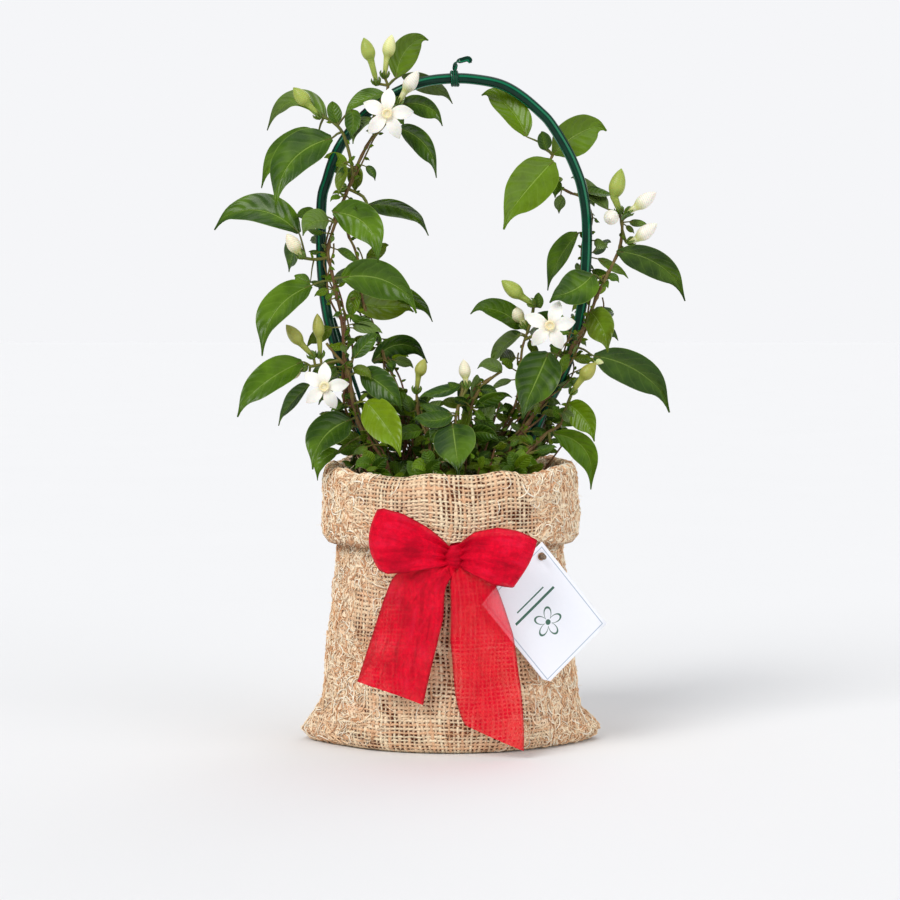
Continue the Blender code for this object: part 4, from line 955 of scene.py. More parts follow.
# top colour and underside of each kind of leaf
leafColours = {
    "d": (paint(44, 72, 13), paint(88, 106, 48)),  # dark
    "b": (paint(36, 62, 19), paint(82, 100, 58)),  # deep
    "m": (paint(62, 93, 11), paint(104, 126, 46)),  # middle green
    "g": (paint(88, 116, 10), paint(116, 134, 36)),  # bright
    "y": (paint(108, 134, 4), paint(136, 152, 34)),  # young, yellow green
    "o": (paint(84, 102, 14), paint(112, 122, 42)),  # olive
    "u": (paint(86, 106, 52), paint(92, 110, 58)),  # grey green
    "s": (paint(70, 74, 18), paint(98, 94, 46)),  # painted shade: darker, brownish green for low leaves
}
stemColours = {"brown": paint(102, 62, 30), "olive": paint(116, 112, 34), "red": paint(96, 44, 24)}
budColours = {
    "green": (paint(140, 160, 56), paint(164, 178, 76), paint(148, 166, 60)),
    "pale": (paint(176, 186, 92), paint(222, 226, 150), paint(238, 236, 178)),
    "olive": (paint(138, 146, 48), paint(164, 166, 74), paint(168, 168, 80)),
    "cream": (paint(190, 192, 112), paint(234, 227, 196), paint(238, 231, 204)),
    "white": (paint(196, 200, 122), paint(241, 236, 222), paint(243, 237, 224)),
}


def mixColour(first, second, share):
    return tuple(a + (b - a) * share for a, b in zip(first, second))


def nearestOn(lines, spot, limit=1.0):
    best = None
    for line in lines:
        for start, end in zip(line, line[1:]):
            span = end - start
            if span.length_squared == 0:
                continue
            t = within((spot - start).dot(span) / span.length_squared, 1 - limit, limit)
            found = start + span * t
            if best is None or (found - spot).length < (best - spot).length:
                best = found
    return best


def outlineAt(outline, t):  # the outline's half width, softened over its neighbours
    near = [within(t + step) for step in foliage["softening"]]
    return float(np.mean(np.interp(near, *zip(*outline))))


def leafSpine(base, tip, arch, count):
    span = tip - base
    bend = (base + tip) / 2 + 2 * (Vector((-span.z, 0.0, span.x)).normalized() * arch)
    spine = []
    for t in shares(count):
        point = base * (1 - t) ** 2 + bend * 2 * t * (1 - t) + tip * t * t
        drop = max(0.0, (t - 0.8) / 0.2)
        point.z -= foliage["tipDrop"] * span.length * drop * drop
        spine.append(point)
    return spine


def addBlade(mould, spine, width, turn, kind, rng):
    small = width < foliage["smallWidth"]
    across = (5 if width < foliage["tinyWidth"] else 7) if small else foliage["across"]
    thick = foliage["bladeThick"] * (foliage["smallShare"] if small else 1.0)
    ripple, phase = rng.uniform(*foliage["ripple"]), rng.uniform(0, 6.28)
    roll = rng.uniform(*foliage["roll"])
    gain = rng.uniform(*foliage["gain"])
    top, under = ([channel * gain for channel in colour[:3]] for colour in leafColours[kind])
    tints = [top + [1.0]] * across + [under + [0.0]] * across
    rows, uvs = [], []
    along = directions(spine)
    flatOn = min((front - way * front.dot(way)).length for way in along) >= 0.2
    for t, centre, way in zip(shares(len(spine)), spine, along):
        half = width / 2 * outlineAt(foliage["outline"], t)
        facing = front - way * front.dot(way) if flatOn else Vector((0.0, 0.0, 1.0)) - way * way.z
        facing.normalize()
        side = way.cross(facing)
        spin = turn + 0.12 * math.sin(phase) * t
        out = facing * math.cos(spin) + side * math.sin(spin)
        side = side * math.cos(spin) - facing * math.sin(spin)
        upper, lower = [], []
        for s in sweep(across):
            a = abs(s)
            curl = foliage["fold"] * (foliage["curl"] * a ** 1.25 - (foliage["curlBack"] + roll * 3) * a ** 4)
            lift = half * (curl + ripple * math.sin(9 * t + phase + s) * a * a)
            if not small:
                vein = leafLook["veins"] * t - leafLook["veinSlant"] * (a / 2) ** leafLook["veinCurve"]
                lift += foliage["quilt"] * math.cos(2 * math.pi * vein) * a * (1 - a ** 3)
                lift -= foliage["ribDip"] if s == 0 else 0.0
            spot = centre + side * half * s + out * lift
            skin = out * thick / 2 * (1 - foliage["thinEdge"] * a ** 6)
            upper.append(spot + skin)
            lower.append(spot - skin)
        row, uvRow = closedRow(upper, lower, t)
        rows.append(row)
        uvs.append(uvRow)
    mould.add(rows, uvs, tints)


def stemTint(rng, t):
    share = within(t * 0.9 - 0.3 + rng.uniform(-0.3, 0.3), high=0.8)
    bark = mixColour(stemColours["brown"], stemColours["red"], rng.uniform(0, 0.6))
    return mixColour(bark, stemColours["olive"], share)


def addStem(mould, path, thick, taper, rng, sides, youth=1.0):
    steps = shares(len(path))
    radii = [thick * (1 - taper * t) for t in steps]
    mould.tube(path, radii, [stemTint(rng, t * youth) for t in steps], sides, finish=1)


def addLeaf(mould, row, stems, order, rng):
    x0, z0, x1, z1, width, arch, y0, y1, turn, kind = row
    large = width >= foliage["smallWidth"]
    base, tip = seen(x0, z0, y0), seen(x1, z1, y1)
    tip.z += 0.8 * foliage["tipDrop"] * (tip - base).length
    spine = leafSpine(base, tip, arch, foliage["stations" if large else "smallStations"])
    root = nearestOn(stems, base, foliage["rootLimit"] - foliage["rootStagger"] * (order % 5))
    middle = (root + base) / 2 + Vector((0.0, 0.0, 0.08 * (base - root).length))
    stalk = curveThrough([root, middle, base, spine[2]], 1.6)
    thick = foliage["petiole"] * (1.0 if large else foliage["smallShare"])
    radii = [thick * (1.35 - 0.75 * t) for t in shares(len(stalk))]
    mould.tube(stalk, radii, mixColour(stemColours["olive"], leafColours[kind][0], 0.45), sides=6, finish=1)
    addBlade(mould, spine, width, math.radians(turn), kind, rng)


def addBud(mould, foot, neck, tip, radius, kind, finish=2, sides=12):
    low, middle, high = budColours[kind]
    steps = shares(23)
    path = [foot, foot * 0.6 + neck * 0.4, foot * 0.2 + neck * 0.8] + [neck + (tip - neck) * t for t in steps]
    radii = [1.0, max(1.1, 0.4 * radius), max(1.2, 0.46 * radius)]
    radii += [outlineAt(foliage["budOutline"], t) * radius for t in steps]
    tint = [low, low, mixColour(low, middle, 0.4)]
    tint += [mixColour(low, middle, t * 3) if t < 0.34 else mixColour(middle, high, (t - 0.34) / 0.66)
             for t in steps]
    mould.tube(path, radii, tint, sides, finish)
    way = (neck - foot).normalized()
    side = way.orthogonal()
    calyx = mixColour(leafColours["m"][0], leafColours["g"][0], 0.6)
    for out in circle(Vector(), side, way.cross(side), 1.0, 5):  # sepals round the foot
        path = [foot + way * up + out * away for up, away in foliage["sepal"]]
        mould.tube(path, foliage["sepalRadii"], calyx, sides=6, finish=finish, flat=0.6)


def joints(line, rng, every, soonest, spread, lowest):  # places along a stem where small leaves grow
    run = rng.uniform(soonest, every)
    for start, end in zip(line, line[1:]):
        run -= (end - start).length
        crowded = any((start - seen(*centre)).length < foliage["bloomRoom"] for centre, *_ in blooms.values())
        if run <= 0 and start.z >= lowest and not crowded:
            run = rng.uniform(*spread) * every
            yield start


def addBracts(mould, line, rng, every=11.0):
    for start in joints(line, rng, every, 4, (0.5, 1.3), foliage["bractsFrom"]):
        way = Vector((rng.uniform(-1, 1), rng.uniform(-0.8, 0.2), rng.uniform(-0.3, 0.9))).normalized()
        tip = start + way * rng.uniform(3.0, 5.2)
        spine = leafSpine(start, tip, rng.uniform(-0.6, 0.6), 5)
        addBlade(mould, spine, rng.uniform(1.5, 2.6), 0.3, rng.choice("gggyyom"), rng)


def addSideLeaves(mould, line, rng, every, sizes, behind=-0.15):  # small leaves on short stalks at the joints
    for start in joints(line, rng, every, 3, (0.6, 1.4), foliage["sideLeavesFrom"]):
        for _ in range(rng.choice((1, 2, 2, 3))):
            turn = rng.uniform(0, 6.28)
            way = Vector((math.cos(turn), 0.6 * math.sin(turn) + behind, rng.uniform(-0.5, 0.7))).normalized()
            length = rng.uniform(*sizes)
            base = start + way * (2.0 + length * 0.25)
            tip = base + (way + Vector((0.0, 0.0, rng.uniform(-0.6, 0.1)))).normalized() * length
            stalk = [start, base, base + (tip - base) * 0.2]
            mould.tube(stalk, [0.5, 0.4, 0.3], stemColours["olive"], sides=5, finish=1)
            spine = leafSpine(base, tip, rng.uniform(-0.9, 0.9), 9)
            width, turn = length * rng.uniform(0.4, 0.55), rng.uniform(-0.9, 0.9)
            addBlade(mould, spine, width, turn, rng.choice("ddbmmuuogy"), rng)


def addVine(mould, line, rng, offset, reach):  # a thin shoot that climbs round a stem
    low = next(i for i, spot in enumerate(line) if spot.z > foliage["vinesFrom"])
    high = low + int((len(line) - low - 1) * reach)
    if high - low < 4:
        return
    phase, turns = rng.uniform(0, 6.28), rng.uniform(0.06, 0.11)
    path = []
    for i in range(low, high + 1):
        fade = min(1.0, (i - low) / 5) * min(1.0, (high - i) / 4 + 0.25)
        spin = phase + turns * (line[i].z - line[low].z)
        way = Vector((math.cos(spin), 0.6 * math.sin(spin) + 0.4, 0.0))
        path.append(line[i] + way * offset * (0.45 + 0.55 * fade))
    addStem(mould, path, rng.uniform(0.65, 0.95), 0.35, rng, 6)
    addBracts(mould, path, rng, every=9.0)
    addSideLeaves(mould, path, rng, 42.0, (5.0, 12.0))


undergrowth = {
    "shoots": 52,
    "spread": 26,  # mm to each side of its middle
    "depths": (-46, 44),
    "rootHeight": 119.0,
    "soilHeight": 128.0,
    "pairsFrom": 136,  # from this height up some joints have two leaves
    "paintedShadeBelow": 165,
    "leafRim": 168,  # below this height leaves stay inside the sack's mouth
    "rim": 172,
    "ring": 0.94,  # how near the shoots stand to the sack's inside
    "inside": (58.0, 54.0),  # half width and half depth where they stand
    "mouth": (61.0, 57.0),  # where their tops stay, below the rim
    "leafMouth": (62.0, 60.0),
    "low": (14.0, 48.0),
    "tall": (44.0, 70.0),
    "bareShare": 0.36,  # tall thin shoots with leaves only near the top
    "leaf": (6.0, 14.5),
}


def outness(x, y, size):  # 1 on the rim of an oval
    return math.hypot(x / size[0], y / size[1])


def addUndergrowth(mould, centreX, seed):  # short leafy shoots rooted in the soil
    rng = random.Random(seed)
    for _ in range(undergrowth["shoots"]):
        x = centreX + rng.uniform(-undergrowth["spread"], undergrowth["spread"])
        y = rng.uniform(*undergrowth["depths"])
        span = outness(x, y, undergrowth["inside"])
        if span > undergrowth["ring"]:
            x, y = x * undergrowth["ring"] / span, y * undergrowth["ring"] / span
        bare = rng.random() < undergrowth["bareShare"]
        tall = rng.uniform(*undergrowth["tall" if bare else "low"]) * (0.75 if y < -20 else 1.1)
        foot = Vector((x * 0.7, y * 0.7, undergrowth["rootHeight"]))
        sway = Vector((rng.uniform(-9, 9) + (0.3 * x if bare else 0.0), rng.uniform(-6, 6), 0.0))
        top = Vector((x, y, undergrowth["soilHeight"] + tall)) + sway
        inner = outness(top.x, top.y, undergrowth["mouth"])
        if inner > 1.0 and top.z < undergrowth["rim"]:
            top.x, top.y = top.x / inner, top.y / inner
        path = curveThrough([foot, foot * 0.5 + top * 0.5 - sway * 0.3, top], 5.0)
        addStem(mould, path, rng.uniform(0.6, 0.95), 0.4, rng, 5, youth=0.5)
        last = len(path) - 1
        for i, spot in enumerate(path[1:], 1):
            if bare and i < 0.75 * last and rng.random() < 0.85:
                continue
            for _ in range(rng.choice((1, 1, 2)) if spot.z > undergrowth["pairsFrom"] else 1):
                turn = rng.uniform(0, 6.28)
                length = rng.uniform(*undergrowth["leaf"]) * (1.15 if i == last else 0.9)
                rise = rng.uniform(-0.15, 0.75)
                way = Vector((math.cos(turn), 0.7 * math.sin(turn) - 0.3, rise)).normalized()
                tip = spot + way * length
                outside = outness(tip.x, tip.y, undergrowth["leafMouth"]) > 1.0
                if outside and tip.z < undergrowth["leafRim"]:
                    continue
                spine = leafSpine(spot, tip, rng.uniform(-1.2, 1.2), 8)
                # below this height more leaves take kind s, a painted shade
                kind = rng.choice("ssdgbmmoso" if spot.z < undergrowth["paintedShadeBelow"] else "sdgbmuo")
                addBlade(mould, spine, length * rng.uniform(0.34, 0.5), rng.uniform(-0.9, 0.9), kind, rng)


# stem: foot in the soil, radius low and high, then x, z and depth along it; twigs: x, z and depth
# leaves: x and z of the base, then of the tip, width, arch, depth of base and tip, turn in degrees, kind
# buds: x and z of foot, neck and tip, radius, depth, kind
sprays = {
    "sprayLeftTop": {
        "stem": ((-30, -8), 1.7, 1.3, [
                (-34.5, 146, -8), (-46.5, 171.6, -6.5), (-56.7, 195, -6.5), (-62.1, 222.6, -6.5),
                (-65.1, 253.8, -6.5), (-70.5, 279.6, -6.5), (-72.9, 294.6, -6.5), (-67.5, 313.2, -6.5),
                (-60.9, 330.6, -6), (-54.3, 346.8, -3), (-47.5, 359.5, 2), (-39.9, 369, 6), (-38.1, 381.6, 7),
                (-36.9, 391.8, 7.5)]),
        "twigs": [
            [(-57.9, 337.8, -5), (-59.7, 350, -6.5), (-63.9, 363.6, -7.5), (-69.9, 370.2, -8),
             (-76.5, 373.8, -8)],
            [(-45.3, 361.8, 3), (-40, 367.5, -4), (-38.5, 370, -7.5)],
            [(-43, 364, 1), (-37, 374, -5), (-32.5, 379, -8.2)],
            [(-45.3, 361.8, 3), (-45.8, 370, -5), (-44, 378, -7.6), (-40.5, 384.5, -7.8)],
            [(-72.4, 290, -6.5), (-80, 288.6, -9), (-87.2, 289.4, -15.6)],
            [(-60.9, 330.6, -6), (-52, 326, -5.5), (-49.5, 321, -5)],
        ],
        "leaves": [
            (-32.1, 396.6, -12.9, 419.4, 17, 5, 7, 22, 20, "g"),
            (-28.5, 397.8, 1.5, 381.6, 13, 2, 8.5, 20, 40, "u"),
            (-27.9, 381, -4.5, 368.4, 14, 4, -7, -24, 40, "d"),
            (-30.3, 366.6, -8.1, 337.8, 15, 5, -4, -26, 35, "d"),
            (-74.1, 372.6, -108.9, 366, 15, -12, -8, 10, 40, "u"),
            (-66.9, 369.6, -69.9, 382.8, 9, 1, -8, -7, 20, "m"),
            (-70.5, 360.6, -104.1, 320.4, 23, -8, -8, -28, 12, "d"),
            (-78.9, 363.6, -112.5, 331.8, 16, -5, -3, 20, 20, "m"),
            (-58.5, 377.4, -59.1, 360, 10, 1, -9, -20, 15, "d"),
            (-46.5, 372.6, -57.9, 357.6, 12, -2, -6, -16, 50, "u"),
            (-39.3, 387, -62.7, 373.8, 12, -2, -8, -8, 40, "d"),
            (-63.9, 345.6, -66.9, 326.4, 9, 1, -7, -16, 35, "o"),
            (-55.4, 344.6, -56.7, 328.2, 11, 0, -3, 0, 30, "o"),
            (-50.1, 343.8, -44.7, 335.4, 5, 1, -6, -7, 0, "d"),
            (-90.3, 304.2, -140.7, 307.2, 21, -10, -9, 8, 30, "d"),
            (-72.6, 311.6, -87.9, 303, 14, -3, -8.3, -20, 20, "u"),
            (-80.1, 315.5, -92.1, 313, 8, -1, -7.5, -6, 20, "d"),
            (-92.1, 300.6, -96.3, 281.4, 14, 0, -9, 4, 40, "d"),
            (-83.1, 273, -112.5, 231.6, 21, -7, -9, -30, 25, "m"),
            (-83.7, 275, -93.3, 279, 8, 1, -8.5, -8, 20, "d"),
            (-69.9, 316.8, -42.9, 287.4, 21, 8, -9, -30, 10, "m"),
            (-49.5, 321, -12.9, 303.6, 16, 5, -5, 22, 55, "d"),
            (-64.5, 277.8, -20.1, 257.4, 23, 7, -9, -30, 15, "m"),
        ],
        "buds": [
            (-43.5, 393, -47.1, 406.8, -51.3, 420, 4.2, 7, "green"),
            (-39, 397, -37.5, 408.6, -34.5, 421.8, 3.9, 7.5, "pale"),
            (-77.7, 373.2, -84.3, 380.4, -93.3, 390.6, 4.2, -8, "green"),
            (-63, 332, -65, 331.6, -68.6, 333, 2.0, -7, "pale"),
        ],
    },
    "sprayLeftLow": {
        "stem": ((-24, -14), 1.4, 1.2, [
                (-28.5, 146, -14), (-35.1, 158.4, -12.5), (-38.7, 165.6, -12), (-44.1, 174.6, -12),
                (-50.1, 182.4, -12), (-55.5, 192.6, -12), (-58.5, 204.6, -12), (-59.7, 216.6, -12),
                (-62.7, 224.4, -11.5), (-68.7, 231.6, -11), (-74.1, 238.6, -10.5)]),
        "twigs": [
            [(-66, 228.5, -11), (-72, 227, -11), (-77.7, 225.6, -11), (-84, 224.6, -10)],
            [(-77, 225.8, -11), (-76, 222, -12.5)],
        ],
        "leaves": [
            (-53.7, 221.4, -29.1, 198.6, 17, 2, -13, -24, 5, "d"),
            (-50.1, 203.4, -29.7, 171, 21, 1, -15, -38, 5, "y"),
            (-59.7, 192.6, -82.5, 163.4, 22, -5, -12, -34, 20, "d"),
            (-66.9, 173.6, -79.6, 156.4, 10, -4, -14, -15, 35, "m"),
            (-88.5, 227.4, -127.5, 195, 20, -3, -10, -22, 25, "m"),
            (-84.5, 213.4, -102.9, 189.6, 13, -1, -7, 14, 45, "d"),
        ],
        "buds": [
            (-81.9, 230.4, -89.1, 238.2, -98.1, 249.6, 3.9, -12, "olive"),
            (-77.7, 230.6, -78.3, 241.8, -79.5, 256.2, 3.6, -10.5, "olive"),
        ],
    },
    "sprayLeftInner": {
        "stem": ((-14, 2), 1.5, 1.1, [
                (-20, 146, 1), (-27.3, 165.6, 0), (-27.3, 180.6, 0), (-28.5, 195.6, 0), (-30.3, 207.6, 0),
                (-34.5, 219.6, 0), (-38.7, 228.6, 0), (-42.9, 239.4, 0), (-48.3, 250.8, 0), (-52.5, 264.6, 0),
                (-53.7, 279.6, 1), (-54.9, 287.4, 1), (-57.3, 295.8, 2), (-60.3, 301.8, 2),
                (-62.1, 308, 2)]),
        "leaves": [
            (-59.7, 264.6, -21.9, 258, 20, -3, -1, 18, -30, "o"),
            (-56.1, 270.6, -59.7, 251.4, 9, 0, 0, -1, 20, "g"),
            (-38.7, 273.6, -10.5, 252, 13, 2, 3, 24, 40, "m"),
            (-56.7, 252.6, -44.7, 246.6, 6, 1, -1, -3, 0, "m"),
            (-46.5, 227.2, -13.5, 227.4, 18, 9, -3, 16, 40, "b"),
            (-35.7, 228.6, -34.5, 220.8, 6, 0, -2, -3, 0, "d"),
        ],
    },
    "sprayRightOuter": {
        "stem": ((14, -8), 1.7, 1.3, [
                (17, 146, -8), (21.3, 157.8, -8), (28.5, 167.4, -7.5), (35.1, 174.6, -7), (41.1, 181.8, -7),
                (48.3, 192.6, -7), (54.9, 202.2, -7), (60.9, 211.8, -7), (66.3, 220.8, -7), (70.5, 229.8, -7),
                (74.7, 239.4, -7), (78.9, 245.4, -7), (84.3, 257.4, -6), (88.5, 267.6, -4), (93.3, 277.8, -2),
                (98.1, 287.4, 0), (101.7, 296.4, 0), (102.9, 307.8, 0), (101.7, 314.4, 0)]),
        "twigs": [
            [(102.9, 306, 0), (104.5, 300.5, -6), (105.6, 298.6, -8)],
            [(101.7, 314.4, 0), (99.5, 314.8, -5), (98, 314.6, -7.5)],
            [(102.5, 311, 0), (103.5, 314.5, -4), (104.5, 316, -6.6)],
        ],
        "leaves": [
            (93.9, 318.6, 72.3, 337.8, 12, 0, 8, 24, 40, "u"),
            (85.5, 279.6, 59.7, 263.4, 21, 3, -9, -28, 10, "d"),
            (59.1, 232.8, 43.5, 193.8, 26, 0, -10, -32, 8, "d"),
            (99.9, 293.4, 140.7, 264.6, 19, 6, -4, 16, 30, "d"),
            (84.3, 257.4, 94.5, 233.4, 18, 2, -8, -26, 20, "o"),
            (86.1, 231, 131.7, 198, 22, 6, -6, 18, 20, "d"),
            (94.5, 278.4, 101.1, 274.8, 5, 1, -2, -3, 0, "m"), (67, 221, 72, 232, 6, 1, -9, -11, 0, "g"),
        ],
        "buds": [
            (101.7, 316.4, 98.1, 325.8, 102.3, 342.6, 4.8, 0, "green"),
            (81, 230, 85.5, 228.6, 92.1, 226.8, 2.4, -3, "pale"),
        ],
    },
    "sprayRightInner": {
        "stem": ((5, -1), 1.4, 1.1, [
                (10, 146, -1), (17.1, 157.8, 0), (24.3, 171.6, 0), (29.1, 181.8, 0), (34.5, 192.6, 0),
                (39.3, 202.2, 0), (42, 217, 0), (42.9, 232.8, 0), (44.7, 240.6, 0), (46.3, 245, 0)]),
        "twigs": [
            [(44.7, 240.6, 0), (50, 243, -4), (55.5, 245.5, -8)],
            [(46.3, 245, 0), (49, 254, -2), (50.1, 261.6, -3)],
        ],
        "leaves": [
            (43.5, 247.8, 12.3, 256.8, 15, -4, 5, -18, 30, "m"),
            (42.3, 243.4, 24.3, 224.4, 13, -2, -2, 20, 50, "u"),
            (54.3, 259.6, 53.4, 269, 6, 1, -3, -4, 0, "b"),
        ],
        "buds": [(50.1, 261.6, 42.9, 266.4, 30.9, 276, 4.5, -5, "green")],
    },
    "sprayRightTop": {
        "stem": ((35, 9), 1.5, 1.1, [
                (37, 146, 9), (44, 172, 8), (51, 190, 7.5), (57.3, 204.6, 7), (72.3, 234.6, 6.5),
                (77.1, 264.6, 6.5), (80.1, 282.6, 6.5), (82.5, 297.6, 6.5), (83.7, 309.6, 6.5),
                (81.9, 320.4, 7), (78.3, 325.6, 7), (71.1, 328.6, 6), (63.9, 333, 3), (57.9, 337.8, 1),
                (59.1, 345.6, 1), (61.5, 351, 2)]),
        "leaves": [
            (45.3, 361.8, 18.9, 387, 17, -4, -5, 14, 20, "g"),
            (57.3, 353.4, 54.3, 364.8, 9, 0, -1, -3, 20, "d"),
            (61.5, 351.5, 93.3, 366, 23, 3, 9, 28, 15, "g"),
            (61.5, 347, 32.1, 307.2, 26, -1, -5, -28, 8, "g"),
            (63.9, 335.8, 62.7, 325.2, 7, 0, -1, -4, 0, "m"),
            (76.5, 304.2, 58.5, 270.6, 17, -2, 8.5, 24, 45, "d"),
        ],
    },
    "sprayRightLow": {
        "stem": ((24, -18), 1.3, 1.0, [
                (27, 146, -18), (38, 163, -16), (48.3, 174.6, -14), (54.3, 180.6, -13.5), (59.1, 185.4, -13),
                (66.3, 189.6, -13), (68.1, 195.6, -12)]),
        "twigs": [
            [(59.1, 185.4, -13), (60.3, 178.5, -13), (60.5, 175, -13)],
            [(68.1, 195.6, -12), (70.5, 202, -12), (72.5, 207, -12)],
        ],
        "leaves": [
            (71.1, 202.2, 86.7, 180, 16, 2, -13, -26, 20, "g"),
            (68.1, 197.4, 74.7, 190.2, 7, 0, -14, -17, 0, "u"),
            (62.5, 184.4, 84.7, 151.2, 17, 9, -12, -13, 25, "m"),
            (66.3, 189.6, 78.3, 188.6, 4, 1, -13, -14, 0, "m"),
        ],
        "buds": [(72.9, 208.8, 78.9, 217.2, 87.3, 226.8, 4.2, -13, "olive")],
    },
    "shootLeft": {
        "stem": ((-9, -20), 1.1, 0.9, [
            (-9.5, 146, -20), (-11, 165, -18), (-13, 180.6, -16), (-18.9, 195.6, -14), (-20.1, 209.4, -14)]),
        "leaves": [
            (-23.7, 197.4, -26.1, 207.6, 7, 0, -14, -15, 0, "b"),
            (-17, 186, -32, 178, 9, -2, -16, -22, 20, "m"), (-10, 172, 2, 166, 8, 2, -19, -28, 20, "m"),
        ],
        "buds": [(-20.1, 209.4, -18.9, 219, -15.3, 229.2, 3.6, -14, "olive")],
    },
    "shootMiddle": {
        "stem": ((2, -24), 1.2, 0.9, [
            (2.5, 146, -24), (3.3, 170, -23), (3.3, 192.6, -22), (6, 204, -21), (7.5, 211.4, -20)]),
        "twigs": [[(6, 204, -21), (9, 209.5, -20), (10, 211.6, -19.5)]],
        "leaves": [
            (6.3, 213.8, -18.9, 205.8, 9, 2, -20, -24, 40, "b"),
            (6.5, 211.8, -1.5, 215, 5, 1, -20, -22, 0, "m"),
            (0.3, 196.8, -18.3, 201.6, 7, 2, -23, -26, 20, "b"),
            (1.5, 195.4, -22.5, 193.2, 11, 3, -24, -32, 30, "d"),
            (1.5, 189.6, 5.1, 160, 25, 0, -26, -52, 0, "b"),
            (0.3, 189.6, -11.7, 178.8, 10, -2, -24, -32, 15, "d"),
        ],
    },
    "shootRight": {
        "stem": ((10, -15), 1.1, 0.9, [
            (11, 146, -15), (12, 175, -15), (12.3, 193.8, -15), (13.5, 203, -15), (18.3, 211.8, -15),
            (24, 217, -15), (31, 221.8, -15)]),
        "leaves": [
            (11.1, 197.4, 7.5, 216.8, 9, 1, -14, -13, 20, "b"),
            (14.5, 203.6, 16.5, 220.2, 7, 0, -14, -13, 20, "u"),
            (31, 221.8, 16.5, 223.6, 9, -2, -15, -17, 30, "u"),
            (18.3, 210.6, 28.5, 208.2, 6, 1, -16, -19, 0, "b"),
            (15, 199.8, 37.3, 206.4, 10, 2, -17, -20, 40, "d"),
            (14.3, 192.6, 27.9, 187.2, 7, 1, -17, -22, 10, "d"),
            (13, 184.6, 29, 180, 10, 2, -17, -26, 20, "d"),
        ],
    },
    "coverLeft": {
        "stem": ((-42, -26), 1.1, 0.9, [(-42.5, 140, -26), (-44, 156, -27), (-47, 166, -28)]),
        "leaves": [
            (-47, 165, -57, 163, 8, -2, -28, -34, 20, "m"), (-47, 166, -52, 174, 8, 0, -28, -30, 10, "g"),
            (-45.6, 161, -37, 169, 8, 1, -26.6, -30, 15, "d"),
            (-44.4, 155, -52, 156.5, 8, -2, -27.4, -35, 10, "d"),
            (-44, 158, -35, 157.5, 8, 2, -27, -38, 15, "m"), (-45, 162, -43, 172, 8, 0, -26, -20, 10, "d"),
        ],
    },
    "coverMiddle": {
        "stem": ((-15, -42), 1.1, 0.9, [(-15, 140, -42), (-14, 156, -42), (-12, 166, -42)]),
        "leaves": [
            (-13, 164, -23, 162, 8, -2, -42, -47, 20, "g"), (-12, 166, -15, 175, 8, 0, -42, -43, 10, "m"),
            (-13, 161, -5, 167, 8, 1, -42, -46, 15, "d"), (-14, 157, -22, 154.5, 8, -2, -42, -50, 10, "m"),
            (-14, 158, -6, 155.5, 8, 2, -42, -50, 15, "d"), (-15, 156, -26, 168, 8, 1, -42, -38, 10, "m"),
        ],
    },
    "coverRight": {
        "stem": ((38, -30), 1.1, 0.9, [(38, 140, -30), (38.5, 156, -31), (40, 165, -32)]),
        "leaves": [
            (39, 160, 31, 157.5, 8, -2, -31, -42, 20, "m"), (40, 165, 35, 173, 8, 0, -32, -34, 10, "m"),
            (40, 163, 50, 170.5, 8, 1, -32, -37, 15, "g"), (38.5, 157, 29, 165, 8, -2, -31, -33, 10, "m"),
            (38.5, 158, 47, 157.5, 8, 2, -31, -42, 15, "d"), (39.5, 164, 44.5, 175, 8, 0, -31, -26, 10, "g"),
        ],
    },
}

# foot, neck and tip on the elevation, radius, depths of foot and tip, kind
paleBuds = {
    "budTop": (-31.0, 381.2, -26.7, 388.4, -18.9, 400.4, 4.1, -9, -10, "white"),
    "budLeft": (-88.0, 290.2, -90.7, 293.2, -97.5, 303.8, 4.1, -16.1, -19, "cream"),
    "budLeftLow": (-86.6, 224.2, -90.2, 222.9, -98.5, 217, 3.2, -9.8, 0, "cream"),
    "budMiddle": (10.1, 212.4, 9.3, 217.6, 8.1, 228.8, 3.5, -19, -17, "cream"),
    "budRightBack": (105.6, 316.5, 111, 319.6, 123.1, 328.6, 4.1, -7, -4, "white"),
    "budRightFront": (97.5, 314.6, 96.5, 314, 96, 313, 4.4, -8, -26, "white"),
    "budRightLow": (106.9, 298.8, 111.8, 301, 123.8, 310, 4.1, -9.4, -12, "white"),
    "budInner": (45.1, 248.2, 43.0, 252.0, 35.7, 261.2, 4.1, 0.1, 3, "cream"),
}

# centre of the face, petal reach, foot of the tube, petal directions in degrees
blooms = {
    "bloomTop": ((-37.5, 375, -24), 15.6, (-38.6, 370.9, -8.2), (86, 7, -61, -135, 153)),
    "bloomLeft": ((-75.3, 212.4, -28), 14.4, (-76.1, 220.8, -12.8), (88, 8, -65, -138, 145)),
    "bloomRight": ((59.7, 249, -25), 15.6, (56.3, 245.9, -8.7), (67, 7, -61, -132, 158)),
}
petal = {
    "white": paint(244, 239, 231),
    "base": paint(236, 224, 194),
    "throat": paint(238, 224, 176),
    "deepThroat": paint(216, 190, 128),
    "width": 0.54,
    "thick": 0.3,
    "fromMiddle": 1.4,
    "backward": 4.0,
    "bulge": 2.0,
    "cup": 0.14,
    "groove": 0.2,
    "twist": 0.18,
    "thinEdge": 0.5,
    "tube": (1.8, 1.5),  # radius at the foot, and its gain to the mouth
    "outline": ((0.0, 0.4), (0.14, 0.6), (0.3, 0.88), (0.46, 1.0), (0.6, 0.97), (0.74, 0.8), (0.86, 0.53),
                (0.95, 0.24), (1.0, 0.05)),
    # raised ring round the throat, with a hollow in it: radius and depth
    "throatRing": ((3.3, -0.8), (2.9, -1.9), (2.3, -2.15), (1.8, -1.7), (1.4, -0.8), (0.7, -0.3),
                   (0.1, -0.2)),
}


